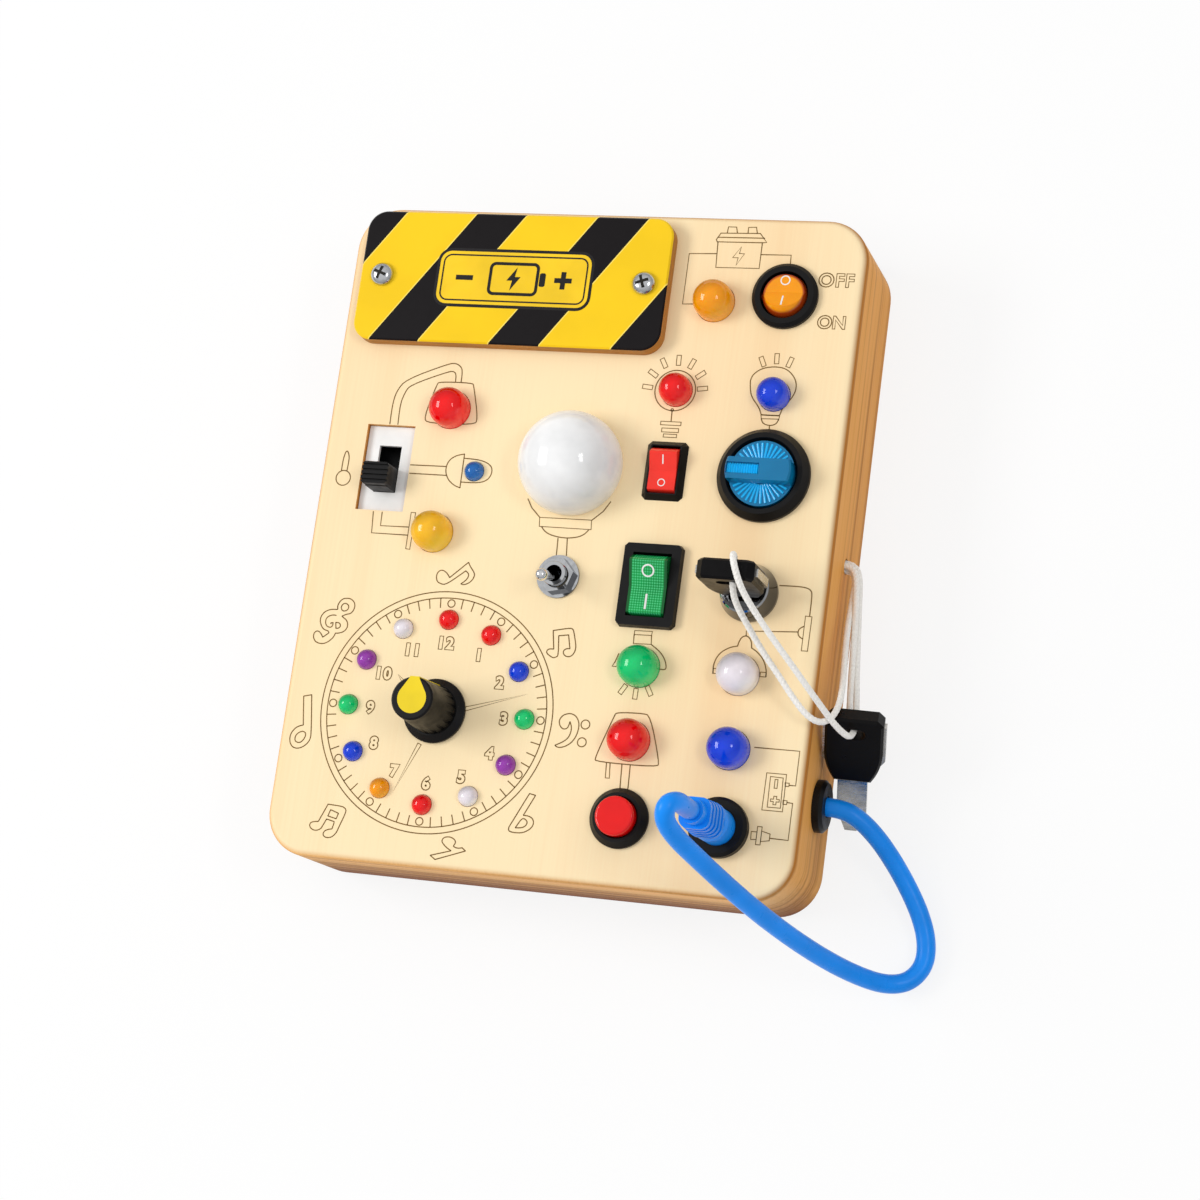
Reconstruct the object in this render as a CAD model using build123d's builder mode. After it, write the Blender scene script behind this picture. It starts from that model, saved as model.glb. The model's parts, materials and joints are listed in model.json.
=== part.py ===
from build123d import *
import os
from math import cos, pi, radians, sin, tan

# Wooden activity board with switches, lamps, a clock dial, a key lock and a plug on a lead.
# The board lies on its back: +X to its right, +Y up the board, +Z out of its front face.
# All sizes are millimetres.

# Board
BOARD_W = 135.0
BOARD_H = 169.0
BOARD_T = 32.0
CORNER_R = 11.0
EDGE_R = 2.0
FRONT_WALL = 5.0
SIDE_WALL = 8.0
CAVITY_R = 6.0
PANEL_T = 3.0
PANEL_RIM = 4.0
PANEL_R = 7.0
PANEL_GAP = 0.15

# Clearances: a fixed body in its hole, a part that turns or slides, and flat moving faces
FIT = 0.1
RUN = 0.05
SLIDE_GAP = 0.15

# Column and row centres of the controls, as shares of the board's width and height
COLUMN_A = 0.175 * BOARD_W
COLUMN_B = 0.359 * BOARD_W
GLOBE_COLUMN = -0.0015 * BOARD_W
LAMP_COLUMN = -0.2555 * BOARD_W
SLIDE_COLUMN = -0.371 * BOARD_W
POWER_ROW = 0.373 * BOARD_H
BULB_ROW = 0.2295 * BOARD_H
TURN_ROW = 0.1085 * BOARD_H
SWITCH_ROW = -0.064 * BOARD_H
BELL_ROW = -0.183 * BOARD_H
SHADE_ROW = -0.29 * BOARD_H
BOTTOM_ROW = -0.4024 * BOARD_H
SIDE_Z = BOARD_T / 2

# Battery bay and its cover plate
PLATE_W, PLATE_H, PLATE_T = 0.6074 * BOARD_W, 34.5, 4.0
PLATE_X = PLATE_W / 2 - BOARD_W / 2 + 4.2
PLATE_Y = BOARD_H / 2 - PLATE_H / 2 - 2.4
PLATE_R = 5.0
PLATE_SCREW_PITCH = PLATE_W - 12.0
CELL_D, CELL_L = 14.2, 50.4
CELL_PITCH = 15.2
CELL_PLAY = 0.2
NUB_R, NUB_H = 2.6, 1.0
CONTACT_ROOM = 1.4
CONTACT_W, CONTACT_T = 9.0, 0.3
BOX_WALL = 1.0
BAY_GAP = 0.3
BAY_WALL = 4.5
BLOCK_RIGHT = PLATE_X + PLATE_W / 2 - 0.7
WIRE_HOLE_R = 2.0

# Screws
COVER_SCREW_R, COVER_SCREW_L = 1.5, 14.0
COVER_HEAD_R, COVER_HEAD_H = 3.0, 2.1
PANEL_SCREW_R, PANEL_SCREW_L = 1.25, 10.0
PANEL_HEAD_R, PANEL_HEAD_H = 2.4, 1.15
PANEL_SCREW_INSET = 8.0
RECESS_W, RECESS_DEPTH = 0.8, 1.1

# Lamps: diameter and height above the flange
LAMP_10 = (10.0, 12.5)
LAMP_8 = (8.0, 11.0)
LAMP_5 = (5.0, 7.6)
LAMP_RIM = 0.7
LAMP_FLANGE_T = 1.2
LEAD_W, LEAD_PITCH, LEAD_L = 0.6, 2.54, 6.5
LAMPS = {
    "amber_power_lamp": (COLUMN_A + 6.8, POWER_ROW - 1.1, LAMP_10),
    "red_desk_lamp": (LAMP_COLUMN - 0.1, TURN_ROW + 12.8, LAMP_10),
    "yellow_wall_lamp": (LAMP_COLUMN + 0.1, TURN_ROW - 19.3, LAMP_10),
    "blue_torch_lamp": (LAMP_COLUMN + 8.4, TURN_ROW - 2.9, LAMP_5),
    "red_bulb_lamp": (COLUMN_A, BULB_ROW, LAMP_8),
    "blue_bulb_lamp": (COLUMN_B, BULB_ROW, LAMP_8),
    "green_shade_lamp": (COLUMN_A, BELL_ROW, LAMP_10),
    "white_bell_lamp": (COLUMN_B, BELL_ROW, LAMP_10),
    "red_shade_lamp": (COLUMN_A, SHADE_ROW, LAMP_10),
    "blue_circuit_lamp": (COLUMN_B, SHADE_ROW, LAMP_10),
}

# Clock dial
CLOCK_LAMP_R = 0.172 * BOARD_W
RING_BOARD_R, RING_BOARD_BORE = CLOCK_LAMP_R + 4.3, CLOCK_LAMP_R - 8.2
CLOCK_X = -0.2 * BOARD_W
CLOCK_Y = SIDE_WALL + RING_BOARD_R + 3.0 - BOARD_H / 2
CLOCK_COLOURS = {
    "red": (12, 1, 6),
    "blue": (2, 8),
    "green": (3, 9),
    "purple": (4, 10),
    "white": (5, 11),
    "orange": (7,),
}
RING_BOARD_T, RING_BOARD_DROP = 1.6, 3.4
ROTARY_R, ROTARY_L = RING_BOARD_BORE - 2.0, 14.0
BUSH_R, BUSH_L = 3.5, 9.0
SHAFT_R = 3.0
SHAFT_TOP = 14.0
NUT_R, NUT_T = 5.5, 2.0
KNOB_SKIRT_R, KNOB_SKIRT_H = 8.0, 2.2
KNOB_R, KNOB_TOP_R, KNOB_H = 6.1, 5.3, 16.6
KNOB_LIFT = 0.4
KNOB_FLUTES, FLUTE_R = 18, 0.5
CAP_T, CAP_R = 0.8, 3.7
STRIPE_W, STRIPE_T = 2.4, 0.9

# Globe lamp
GLOBE_X, GLOBE_Y = GLOBE_COLUMN, TURN_ROW - 0.1
GLOBE_R, GLOBE_RISE, GLOBE_WALL = 13.0, 3.0, 1.4
GLOBE_NECK_R = 12.0
GLOBE_BOARD_R, GLOBE_BOARD_T = 14.0, 1.6

# Rocker switches
PIN_R, PIN_REACH = 0.8, 0.6
TAB_W, TAB_T, TAB_L = 4.8, 0.8, 6.5
ROUND_X, ROUND_Y = COLUMN_B - 0.3, POWER_ROW + 1.0
ROUND_BODY_L = 16.0
ROUND_BEZEL_R, ROUND_BEZEL_H = 8.3, 2.0
ROUND_BODY_R, ROUND_WELL_R = 7.4, 6.05
ROUND_BUTTON_R = 5.75
ROUND_TILT = 12.0
ROCKER_TILT = 11.0
BEZEL_CORNER = 1.0
END_GAP = 0.35
SMALL_X, SMALL_Y = COLUMN_A - 0.2, TURN_ROW - 0.1
SMALL_BEZEL, SMALL_BEZEL_H, SMALL_SLOPE = (10.5, 15.0), 1.7, 36.0
SMALL_BODY, SMALL_BODY_L, SMALL_WELL = (9.0, 13.2), 15.0, (7.2, 12.0)
SMALL_PIVOT, SMALL_CROWN = 0.2, 2.4
LARGE_X, LARGE_Y = COLUMN_A, SWITCH_ROW
LARGE_BEZEL, LARGE_BEZEL_H, LARGE_SLOPE = (15.0, 21.0), 2.0, 8.0
LARGE_BODY, LARGE_BODY_L, LARGE_WELL = (13.0, 19.2), 17.0, (9.8, 15.9)
LARGE_PIVOT, LARGE_CROWN = 0.4, 2.9

# Rotary light switch
TURN_X, TURN_Y = COLUMN_B, TURN_ROW
TURN_BEZEL_R, TURN_BEZEL_H = 11.6, 3.2
TURN_BODY_R, TURN_BODY_L = 9.8, 17.0
TURN_KNOB_R, TURN_KNOB_RISE = 8.2, 7.2
TURN_WELL_GAP = 0.3
TURN_FLOOR = 1.6
TURN_GRIP_W, TURN_GRIP_H = 5.4, 4.4
TURN_STEM_L = 8.0

# Slide switch
SLIDE_X, SLIDE_Y = SLIDE_COLUMN, TURN_ROW - 3.2
SLIDE_W, SLIDE_L = 12.9, 22.4
SLIDE_SINK = 1.5
SLIDE_PLATE_T = 1.0
SLOT_W, SLOT_L = 6.0, 12.2
STEM_L = 5.9
SHOE_W, SHOE_L, SHOE_H = 8.0, 8.4, 3.0
GRIP_W, GRIP_L, GRIP_H = 6.9, 5.6, 4.6
GRIP_RISE = 6.6
CASE_DEPTH = 11.0
EAR_W, EAR_L, EAR_T = 15.5, 28.0, 0.8

# Toggle switch
TOGGLE_X, TOGGLE_Y = GLOBE_COLUMN, SWITCH_ROW + 0.8
TOGGLE_CASE_W, TOGGLE_CASE_L, TOGGLE_CASE_H = 8.0, 13.0, 10.0
TOGGLE_BUSH_R, TOGGLE_BUSH_L = 2.95, 9.0
TOGGLE_BORE_R = 2.1
TOGGLE_PIVOT = 1.0
TOGGLE_TILT = 12.0
LEVER_L, LEVER_NECK_R, LEVER_TIP_R = 13.4, 1.1, 1.55
WASHER_R, WASHER_T = 5.4, 0.6
TOGGLE_NUT_R = 4.6

# Twelve-millimetre panel fittings: key lock, push button and plug socket
THREAD_R = 5.9
RING_NUT_R, RING_NUT_T = 7.6, 2.5
LOCK_HEAD_R, LOCK_FACE_R, LOCK_HEAD_H = 7.2, 6.1, 6.0
LOCK_BARREL_L = 20.0
LOCK_CORE_R = 4.5
LOCK_SINK = 1.5
PUSH_BEZEL_R, PUSH_BEZEL_H = 7.3, 2.6
PUSH_CAP_R, PUSH_CAP_RISE, PUSH_TRAVEL = 4.8, 5.2, 2.0
PUSH_BODY_L = 18.0
JACK_BEZEL_R, JACK_BEZEL_H = 7.2, 3.0
JACK_BODY_L = 19.0

# Keys
BOW_W, BOW_L, BOW_T = 14.0, 18.5, 5.0
BOW_CORNER = 1.5
KEY_L = 34.5
KEY_TOP = 25.0
BLADE_W, BLADE_T = 7.2, 2.0
RIM_OUT = 0.6
KEY_SLOT_W, KEY_SLOT_H, KEY_SLOT_DROP = 5.5, 3.0, 4.2
SPARE_TOP = (BOARD_W / 2 + 9.1, -37.2, 26.7)
SPARE_TURN = (-43.6, 5.9, 6.2)

# Plug
PLUG_R, PLUG_NECK_R, PLUG_TOP_R = 4.5, 3.3, 3.0
PLUG_SEAT, PLUG_SHOULDER, PLUG_H = 2.0, 11.0, 27.0
PLUG_RIBS, RIB_PITCH, RIB_T = 5, 2.4, 1.4
PIN_TIP_R, PLUG_PIN_L = 1.75, 15.4

# Lead and string
LEAD_D = 4.6
GLAND_Y = -0.345 * BOARD_H
GLAND_R, GLAND_T, GLAND_SHANK_R, GLAND_MOUTH_R = 6.4, 2.5, 3.9, 2.6
GLAND_SINK = 1.5
STRING_D = 1.6
STRING_Y = 1.0
STRING_HOLE_R = 2.0

# Heights worked out from the driving sizes
INNER_Z = BOARD_T - FRONT_WALL
CAVITY_W = BOARD_W - 2 * SIDE_WALL
CAVITY_H = BOARD_H - 2 * SIDE_WALL
PANEL_W = BOARD_W - 2 * PANEL_RIM
PANEL_H = BOARD_H - 2 * PANEL_RIM
TROUGH_R = CELL_D / 2 + CELL_PLAY
BOX_W = CELL_L + 2 * (CONTACT_ROOM + BOX_WALL)
BOX_H = CELL_PITCH + 2 * (TROUGH_R + BOX_WALL)
CELL_Z = BOARD_T - BAY_GAP - TROUGH_R
BOX_FLOOR = CELL_Z - TROUGH_R - BOX_WALL
BLOCK_BOTTOM = PLATE_Y - BOX_H / 2 - BAY_GAP - BAY_WALL


def keep(part, name):
    """Label a finished piece and write it as one STEP file."""
    part.label = name
    export_step(part, f"parts/{name}.step")


def section_at(x, y):
    """Upright plane through a vertical axis: sketch x is the radius, sketch y is the height."""
    return Plane(origin=(x, y, 0), x_dir=(1, 0, 0), z_dir=(0, -1, 0))


def axis_at(x, y):
    return Axis((x, y, 0), (0, 0, 1))


def clock_place(hour):
    """Centre of one hour's lamp on the dial."""
    angle = radians(90 - 30 * hour)
    return CLOCK_X + CLOCK_LAMP_R * cos(angle), CLOCK_Y + CLOCK_LAMP_R * sin(angle)


os.makedirs("parts", exist_ok=True)

# ---------------------------------------------------------------- board and back panel

panel_screw_x = BOARD_W / 2 - PANEL_SCREW_INSET
panel_screw_y = BOARD_H / 2 - PANEL_SCREW_INSET

with BuildPart() as board_body:
    with BuildSketch():
        RectangleRounded(BOARD_W, BOARD_H, CORNER_R)
    extrude(amount=BOARD_T)
    rims = board_body.faces().sort_by(Axis.Z)
    fillet(rims[-1].edges() + rims[0].edges(), EDGE_R)
    # Hollow milled from the back, round the solid block that carries the battery bay
    with BuildSketch():
        Rectangle(CAVITY_W, CAVITY_H)
        block_left = -CAVITY_W / 2
        block_top = CAVITY_H / 2
        with Locations(((block_left + BLOCK_RIGHT) / 2, (BLOCK_BOTTOM + block_top) / 2)):
            Rectangle(BLOCK_RIGHT - block_left, block_top - BLOCK_BOTTOM, mode=Mode.SUBTRACT)
        fillet(vertices(), CAVITY_R)
    extrude(amount=INNER_Z, mode=Mode.SUBTRACT)
    with BuildSketch():
        RectangleRounded(PANEL_W, PANEL_H, PANEL_R)
    extrude(amount=PANEL_T, mode=Mode.SUBTRACT)
    # Battery bay milled from the front
    with BuildSketch(Plane.XY.offset(BOARD_T)):
        with Locations((PLATE_X, PLATE_Y)):
            Rectangle(BOX_W + 2 * BAY_GAP, BOX_H + 2 * BAY_GAP)
    extrude(amount=BOX_FLOOR - BOARD_T, mode=Mode.SUBTRACT)
    # Round and rectangular holes through the front wall
    with BuildSketch(Plane.XY.offset(BOARD_T)):
        for x, y, lamp_size in LAMPS.values():
            with Locations((x, y)):
                Circle(lamp_size[0] / 2 + FIT)
        for hour in range(1, 13):
            with Locations(clock_place(hour)):
                Circle(LAMP_5[0] / 2 + FIT)
        with Locations((CLOCK_X, CLOCK_Y)):
            Circle(BUSH_R + FIT)
        with Locations((GLOBE_X, GLOBE_Y)):
            Circle(GLOBE_NECK_R + FIT)
        with Locations((ROUND_X, ROUND_Y)):
            Circle(ROUND_BODY_R + FIT)
        with Locations((TOGGLE_X, TOGGLE_Y)):
            Circle(TOGGLE_BUSH_R + FIT)
        with Locations((COLUMN_B, SWITCH_ROW), (COLUMN_A, BOTTOM_ROW), (COLUMN_B, BOTTOM_ROW)):
            Circle(THREAD_R + FIT)
        with Locations((SMALL_X, SMALL_Y)):
            Rectangle(SMALL_BODY[0] + 2 * FIT, SMALL_BODY[1] + 2 * FIT)
        with Locations((LARGE_X, LARGE_Y)):
            Rectangle(LARGE_BODY[0] + 2 * FIT, LARGE_BODY[1] + 2 * FIT)
        with Locations((SLIDE_X, SLIDE_Y)):
            Rectangle(SLIDE_W, SLIDE_L)
    extrude(amount=-FRONT_WALL, mode=Mode.SUBTRACT)
    with BuildSketch(Plane.XY.offset(BOARD_T)):
        with Locations((TURN_X, TURN_Y)):
            Circle(TURN_BODY_R + FIT)
    extrude(amount=-TURN_BODY_L, mode=Mode.SUBTRACT)
    # Screw pilots from the front and from the back
    with BuildSketch(Plane.XY.offset(BOARD_T)):
        with Locations((PLATE_X, PLATE_Y)):
            with GridLocations(PLATE_SCREW_PITCH, 0, 2, 1):
                Circle(COVER_SCREW_R + RUN)
    extrude(amount=PLATE_T - COVER_SCREW_L - 1, mode=Mode.SUBTRACT)
    with BuildSketch():
        with GridLocations(2 * panel_screw_x, 2 * panel_screw_y, 2, 2):
            Circle(PANEL_SCREW_R + RUN)
    extrude(amount=PANEL_SCREW_L + 1, mode=Mode.SUBTRACT)
    # Holes in the right side wall for the lead's gland and for the string
    with BuildSketch(Plane.YZ.offset(BOARD_W / 2)):
        with Locations((GLAND_Y, SIDE_Z)):
            Circle(GLAND_SHANK_R + FIT)
        with Locations((STRING_Y, SIDE_Z)):
            Circle(STRING_HOLE_R)
    extrude(amount=-SIDE_WALL, mode=Mode.SUBTRACT)
    # Wire hole from the battery bay down into the hollow
    with BuildSketch(Plane.XZ.offset(-BLOCK_BOTTOM)):
        with Locations((PLATE_X, BOX_FLOOR + WIRE_HOLE_R + 1)):
            Circle(WIRE_HOLE_R)
    extrude(amount=-BAY_WALL, mode=Mode.SUBTRACT)
keep(board_body.part, "board_body")

with BuildPart() as back_panel:
    with BuildSketch():
        RectangleRounded(PANEL_W - 2 * PANEL_GAP, PANEL_H - 2 * PANEL_GAP, PANEL_R - PANEL_GAP)
    extrude(amount=PANEL_T)
    with Locations(Plane.XY.rotated((180, 0, 0))):
        with GridLocations(2 * panel_screw_x, 2 * panel_screw_y, 2, 2):
            CounterSinkHole(PANEL_SCREW_R + FIT, PANEL_HEAD_R + FIT, PANEL_T, 90)
keep(back_panel.part, "back_panel")

with BuildPart() as back_panel_screws:
    with BuildSketch(section_at(panel_screw_x, panel_screw_y)):
        with BuildLine():
            Polyline(
                (0, 0),
                (PANEL_HEAD_R, 0),
                (PANEL_SCREW_R, PANEL_HEAD_H),
                (PANEL_SCREW_R, PANEL_SCREW_L - 1.5),
                (0, PANEL_SCREW_L),
                close=True,
            )
        make_face()
    revolve(axis=axis_at(panel_screw_x, panel_screw_y))
    with BuildSketch():
        with Locations((panel_screw_x, panel_screw_y)):
            Rectangle(PANEL_HEAD_R * 1.3, RECESS_W)
            Rectangle(RECESS_W, PANEL_HEAD_R * 1.3)
    extrude(amount=RECESS_DEPTH, mode=Mode.SUBTRACT)
    mirror(about=Plane.YZ)
    mirror(about=Plane.XZ)
keep(back_panel_screws.part, "back_panel_screws")

# ---------------------------------------------------------------- battery bay

with BuildPart() as cover_plate:
    with BuildSketch(Plane.XY.offset(BOARD_T)):
        with Locations((PLATE_X, PLATE_Y)):
            RectangleRounded(PLATE_W, PLATE_H, PLATE_R)
            with GridLocations(PLATE_SCREW_PITCH, 0, 2, 1):
                Circle(COVER_SCREW_R + FIT, mode=Mode.SUBTRACT)
    extrude(amount=PLATE_T)
    chamfer(cover_plate.faces().sort_by(Axis.Z)[-1].outer_wire().edges(), 0.4)
keep(cover_plate.part, "cover_plate")

plate_top = BOARD_T + PLATE_T
screw_x = PLATE_X + PLATE_SCREW_PITCH / 2
with BuildPart() as cover_plate_screws:
    with BuildSketch(section_at(screw_x, PLATE_Y)):
        with BuildLine():
            Polyline(
                (0, plate_top - COVER_SCREW_L),
                (COVER_SCREW_R, plate_top - COVER_SCREW_L + 2),
                (COVER_SCREW_R, plate_top),
                (COVER_HEAD_R, plate_top),
                (COVER_HEAD_R, plate_top + COVER_HEAD_H / 3),
            )
            Line((0, plate_top - COVER_SCREW_L), (0, plate_top + COVER_HEAD_H))
            ThreePointArc(
                (COVER_HEAD_R, plate_top + COVER_HEAD_H / 3),
                (COVER_HEAD_R * 0.72, plate_top + COVER_HEAD_H * 0.82),
                (0, plate_top + COVER_HEAD_H),
            )
        make_face()
    revolve(axis=axis_at(screw_x, PLATE_Y))
    with BuildSketch(Plane.XY.offset(plate_top + COVER_HEAD_H)):
        with Locations((screw_x, PLATE_Y)):
            Rectangle(COVER_HEAD_R * 1.15, RECESS_W, rotation=20)
            Rectangle(RECESS_W, COVER_HEAD_R * 1.15, rotation=20)
    extrude(amount=-RECESS_DEPTH, mode=Mode.SUBTRACT)
    mirror(about=Plane.YZ.offset(PLATE_X))
keep(cover_plate_screws.part, "cover_plate_screws")

with BuildPart() as battery_box:
    with BuildSketch(Plane.XY.offset(BOX_FLOOR)):
        with Locations((PLATE_X, PLATE_Y)):
            Rectangle(BOX_W, BOX_H)
    extrude(amount=BOARD_T - BAY_GAP - BOX_FLOOR)
    trough_l = CELL_L + 2 * CONTACT_ROOM
    with BuildSketch(Plane.YZ.offset(PLATE_X - trough_l / 2)):
        with Locations((PLATE_Y - CELL_PITCH / 2, CELL_Z), (PLATE_Y + CELL_PITCH / 2, CELL_Z)):
            Circle(TROUGH_R)
            with Locations((0, TROUGH_R / 2)):
                Rectangle(2 * TROUGH_R, TROUGH_R)
    extrude(amount=trough_l, mode=Mode.SUBTRACT)
keep(battery_box.part, "battery_box")

with BuildPart() as battery_cells:
    for side in (-1, 1):
        # Each cell starts at its flat end and grows toward its button end
        with BuildSketch(Plane.YZ.offset(PLATE_X - side * CELL_L / 2)):
            with Locations((PLATE_Y + side * CELL_PITCH / 2, CELL_Z)):
                Circle(CELL_D / 2)
        extrude(amount=side * (CELL_L - NUB_H))
        with BuildSketch(Plane.YZ.offset(PLATE_X + side * CELL_L / 2)):
            with Locations((PLATE_Y + side * CELL_PITCH / 2, CELL_Z)):
                Circle(NUB_R)
        extrude(amount=-side * NUB_H)
keep(battery_cells.part, "battery_cells")

# Sheet contacts at both ends of each trough, with a conical spring at the flat end of the cell
with BuildPart() as battery_contacts:
    for side in (-1, 1):
        with BuildSketch(Plane.YZ.offset(PLATE_X - trough_l / 2)):
            with Locations((PLATE_Y + side * CELL_PITCH / 2, CELL_Z)):
                Rectangle(CONTACT_W, CONTACT_W)
        extrude(amount=CONTACT_T)
        with BuildSketch(Plane.YZ.offset(PLATE_X + trough_l / 2)):
            with Locations((PLATE_Y + side * CELL_PITCH / 2, CELL_Z)):
                Rectangle(CONTACT_W, CONTACT_W)
        extrude(amount=-CONTACT_T)
        with BuildSketch(Plane.YZ.offset(PLATE_X - side * (trough_l / 2 - CONTACT_T))):
            with Locations((PLATE_Y + side * CELL_PITCH / 2, CELL_Z)):
                Circle(CONTACT_W / 2 - 0.5)
        extrude(amount=side * (CONTACT_ROOM - CONTACT_T), taper=50)
keep(battery_contacts.part, "battery_contacts")

# ---------------------------------------------------------------- lamps


def make_lamp(x, y, size):
    """Round-nosed lamp pushed through the front wall from behind, its flange on the inside."""
    radius = size[0] / 2
    flange_r = radius + LAMP_RIM
    flange_z = INNER_Z - LAMP_FLANGE_T
    nose_z = INNER_Z + size[1] - radius
    with BuildPart() as lamp:
        with BuildSketch(section_at(x, y)):
            with BuildLine():
                Polyline(
                    (radius, nose_z),
                    (radius, INNER_Z),
                    (flange_r, INNER_Z),
                    (flange_r, flange_z),
                    (0, flange_z),
                    (0, nose_z + radius),
                )
                CenterArc((0, nose_z), radius, 0, 90)
            make_face()
        revolve(axis=axis_at(x, y))
        with BuildSketch(Plane.XY.offset(flange_z)):
            with Locations((x, y)):
                with GridLocations(LEAD_PITCH, 0, 2, 1):
                    Rectangle(LEAD_W, LEAD_W)
        extrude(amount=-LEAD_L)
    return lamp.part


for name, (x, y, size) in LAMPS.items():
    keep(make_lamp(x, y, size), name)

for colour, hours in CLOCK_COLOURS.items():
    lamps = [make_lamp(*clock_place(hour), LAMP_5) for hour in hours]
    with BuildPart() as clock_lamps:
        add(lamps)
    keep(clock_lamps.part, f"clock_lamps_{colour}")

with BuildPart() as clock_circuit_board:
    ring_z = INNER_Z - LAMP_FLANGE_T - RING_BOARD_DROP
    with BuildSketch(Plane.XY.offset(ring_z)):
        with Locations((CLOCK_X, CLOCK_Y)):
            Circle(RING_BOARD_R)
            Circle(RING_BOARD_BORE, mode=Mode.SUBTRACT)
        for hour in range(1, 13):
            with Locations(clock_place(hour)):
                with GridLocations(LEAD_PITCH, 0, 2, 1):
                    Circle(LEAD_W * 0.8, mode=Mode.SUBTRACT)
    extrude(amount=-RING_BOARD_T)
keep(clock_circuit_board.part, "clock_circuit_board")

with BuildPart() as globe_lens:
    centre_z = BOARD_T + GLOBE_RISE
    foot_r = (GLOBE_R**2 - GLOBE_RISE**2) ** 0.5
    inner_r = GLOBE_R - GLOBE_WALL
    bore_r = GLOBE_NECK_R - GLOBE_WALL
    bore_z = centre_z - (inner_r**2 - bore_r**2) ** 0.5
    with BuildSketch(section_at(GLOBE_X, GLOBE_Y)):
        with BuildLine():
            Polyline((foot_r, BOARD_T), (GLOBE_NECK_R, BOARD_T), (GLOBE_NECK_R, INNER_Z))
            Polyline((GLOBE_NECK_R, INNER_Z), (bore_r, INNER_Z), (bore_r, bore_z))
            RadiusArc((bore_r, bore_z), (0, centre_z + inner_r), -inner_r)
            Line((0, centre_z + inner_r), (0, centre_z + GLOBE_R))
            RadiusArc((foot_r, BOARD_T), (0, centre_z + GLOBE_R), -GLOBE_R)
        make_face()
    revolve(axis=axis_at(GLOBE_X, GLOBE_Y))
keep(globe_lens.part, "globe_lens")

with BuildPart() as globe_lamp_board:
    with BuildSketch(Plane.XY.offset(INNER_Z)):
        with Locations((GLOBE_X, GLOBE_Y)):
            Circle(GLOBE_BOARD_R)
    extrude(amount=-GLOBE_BOARD_T)
    with BuildSketch(Plane.XY.offset(INNER_Z)):
        with Locations((GLOBE_X, GLOBE_Y)):
            Circle(LAMP_5[0] / 2)
    extrude(amount=LAMP_5[1] - LAMP_5[0] / 2)
    with Locations((GLOBE_X, GLOBE_Y, INNER_Z + LAMP_5[1] - LAMP_5[0] / 2)):
        Sphere(LAMP_5[0] / 2)
keep(globe_lamp_board.part, "globe_lamp_board")

# ---------------------------------------------------------------- rocker switches


def pivot_plane(x, y, z, tilt=0.0):
    """Plane square to the rocker's pin, turned with the rocker: sketch x runs up the board."""
    return Plane(origin=(x, y, z), x_dir=(0, cos(radians(tilt)), sin(radians(tilt))), z_dir=(1, 0, 0))


def make_rocker_housing(x, y, bezel, body, well, depth, bezel_h, slope, pivot_z):
    """Black snap-in frame with an open well, two pin holes and two terminal tabs."""
    with BuildPart() as housing:
        with BuildSketch(Plane.XY.offset(BOARD_T)):
            with Locations((x, y)):
                Rectangle(*bezel)
            chamfer(vertices(), BEZEL_CORNER)
        extrude(amount=bezel_h, taper=slope)
        with BuildSketch(Plane.XY.offset(BOARD_T)):
            with Locations((x, y)):
                Rectangle(*body)
        extrude(amount=-depth)
        # Snap wedges that grip behind the front wall
        with BuildSketch(Plane.XZ.offset(-y)):
            for side in (-1, 1):
                with BuildLine():
                    Polyline(
                        (x + side * (body[0] / 2 - 0.2), INNER_Z - 0.1),
                        (x + side * (body[0] / 2 + 0.7), INNER_Z - 0.1),
                        (x + side * (body[0] / 2 - 0.2), INNER_Z - 4.0),
                        close=True,
                    )
                make_face()
        extrude(amount=2.0, both=True)
        with BuildSketch(Plane.XY.offset(BOARD_T - depth)):
            with Locations((x, y)):
                with GridLocations(0, body[1] * 0.55, 1, 2):
                    Rectangle(TAB_W, TAB_T)
        extrude(amount=-TAB_L)
        with BuildSketch(Plane.XY.offset(BOARD_T + bezel_h)):
            with Locations((x, y)):
                Rectangle(*well)
        extrude(amount=-(bezel_h + BOARD_T - pivot_z) - well[1] / 2, mode=Mode.SUBTRACT)
        with BuildSketch(pivot_plane(x, y, pivot_z)):
            Circle(PIN_R + RUN)
        extrude(amount=well[0] / 2 + PIN_REACH + SLIDE_GAP, both=True, mode=Mode.SUBTRACT)
    return housing.part


def make_rocker_button(x, y, well, pivot_z, crown):
    """Rocker with two sloping faces and round ends struck from the pin, tilted to its rest."""
    end_r = well[1] / 2 - END_GAP
    half_w = well[0] / 2 - SLIDE_GAP
    reach = end_r + 1.0
    rise = reach * tan(radians(ROCKER_TILT))
    with BuildPart() as button:
        with BuildSketch(pivot_plane(x, y, pivot_z, ROCKER_TILT)):
            Circle(end_r)
            with BuildLine():
                Polyline(
                    (-reach, -0.6 * end_r),
                    (reach, -0.6 * end_r),
                    (reach, crown + rise),
                    (0, crown),
                    (-reach, crown + rise),
                    close=True,
                )
            make_face(mode=Mode.INTERSECT)
        extrude(amount=half_w, both=True)
        top_edges = button.edges().filter_by(Axis.X).sort_by(Axis.Z)[-3:]
        ends = top_edges.sort_by(Axis.Y)
        fillet([ends[0], ends[-1]], 0.5)
        with BuildSketch(pivot_plane(x, y, pivot_z)):
            Circle(PIN_R)
        extrude(amount=half_w + PIN_REACH, both=True)
    return button.part


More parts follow.
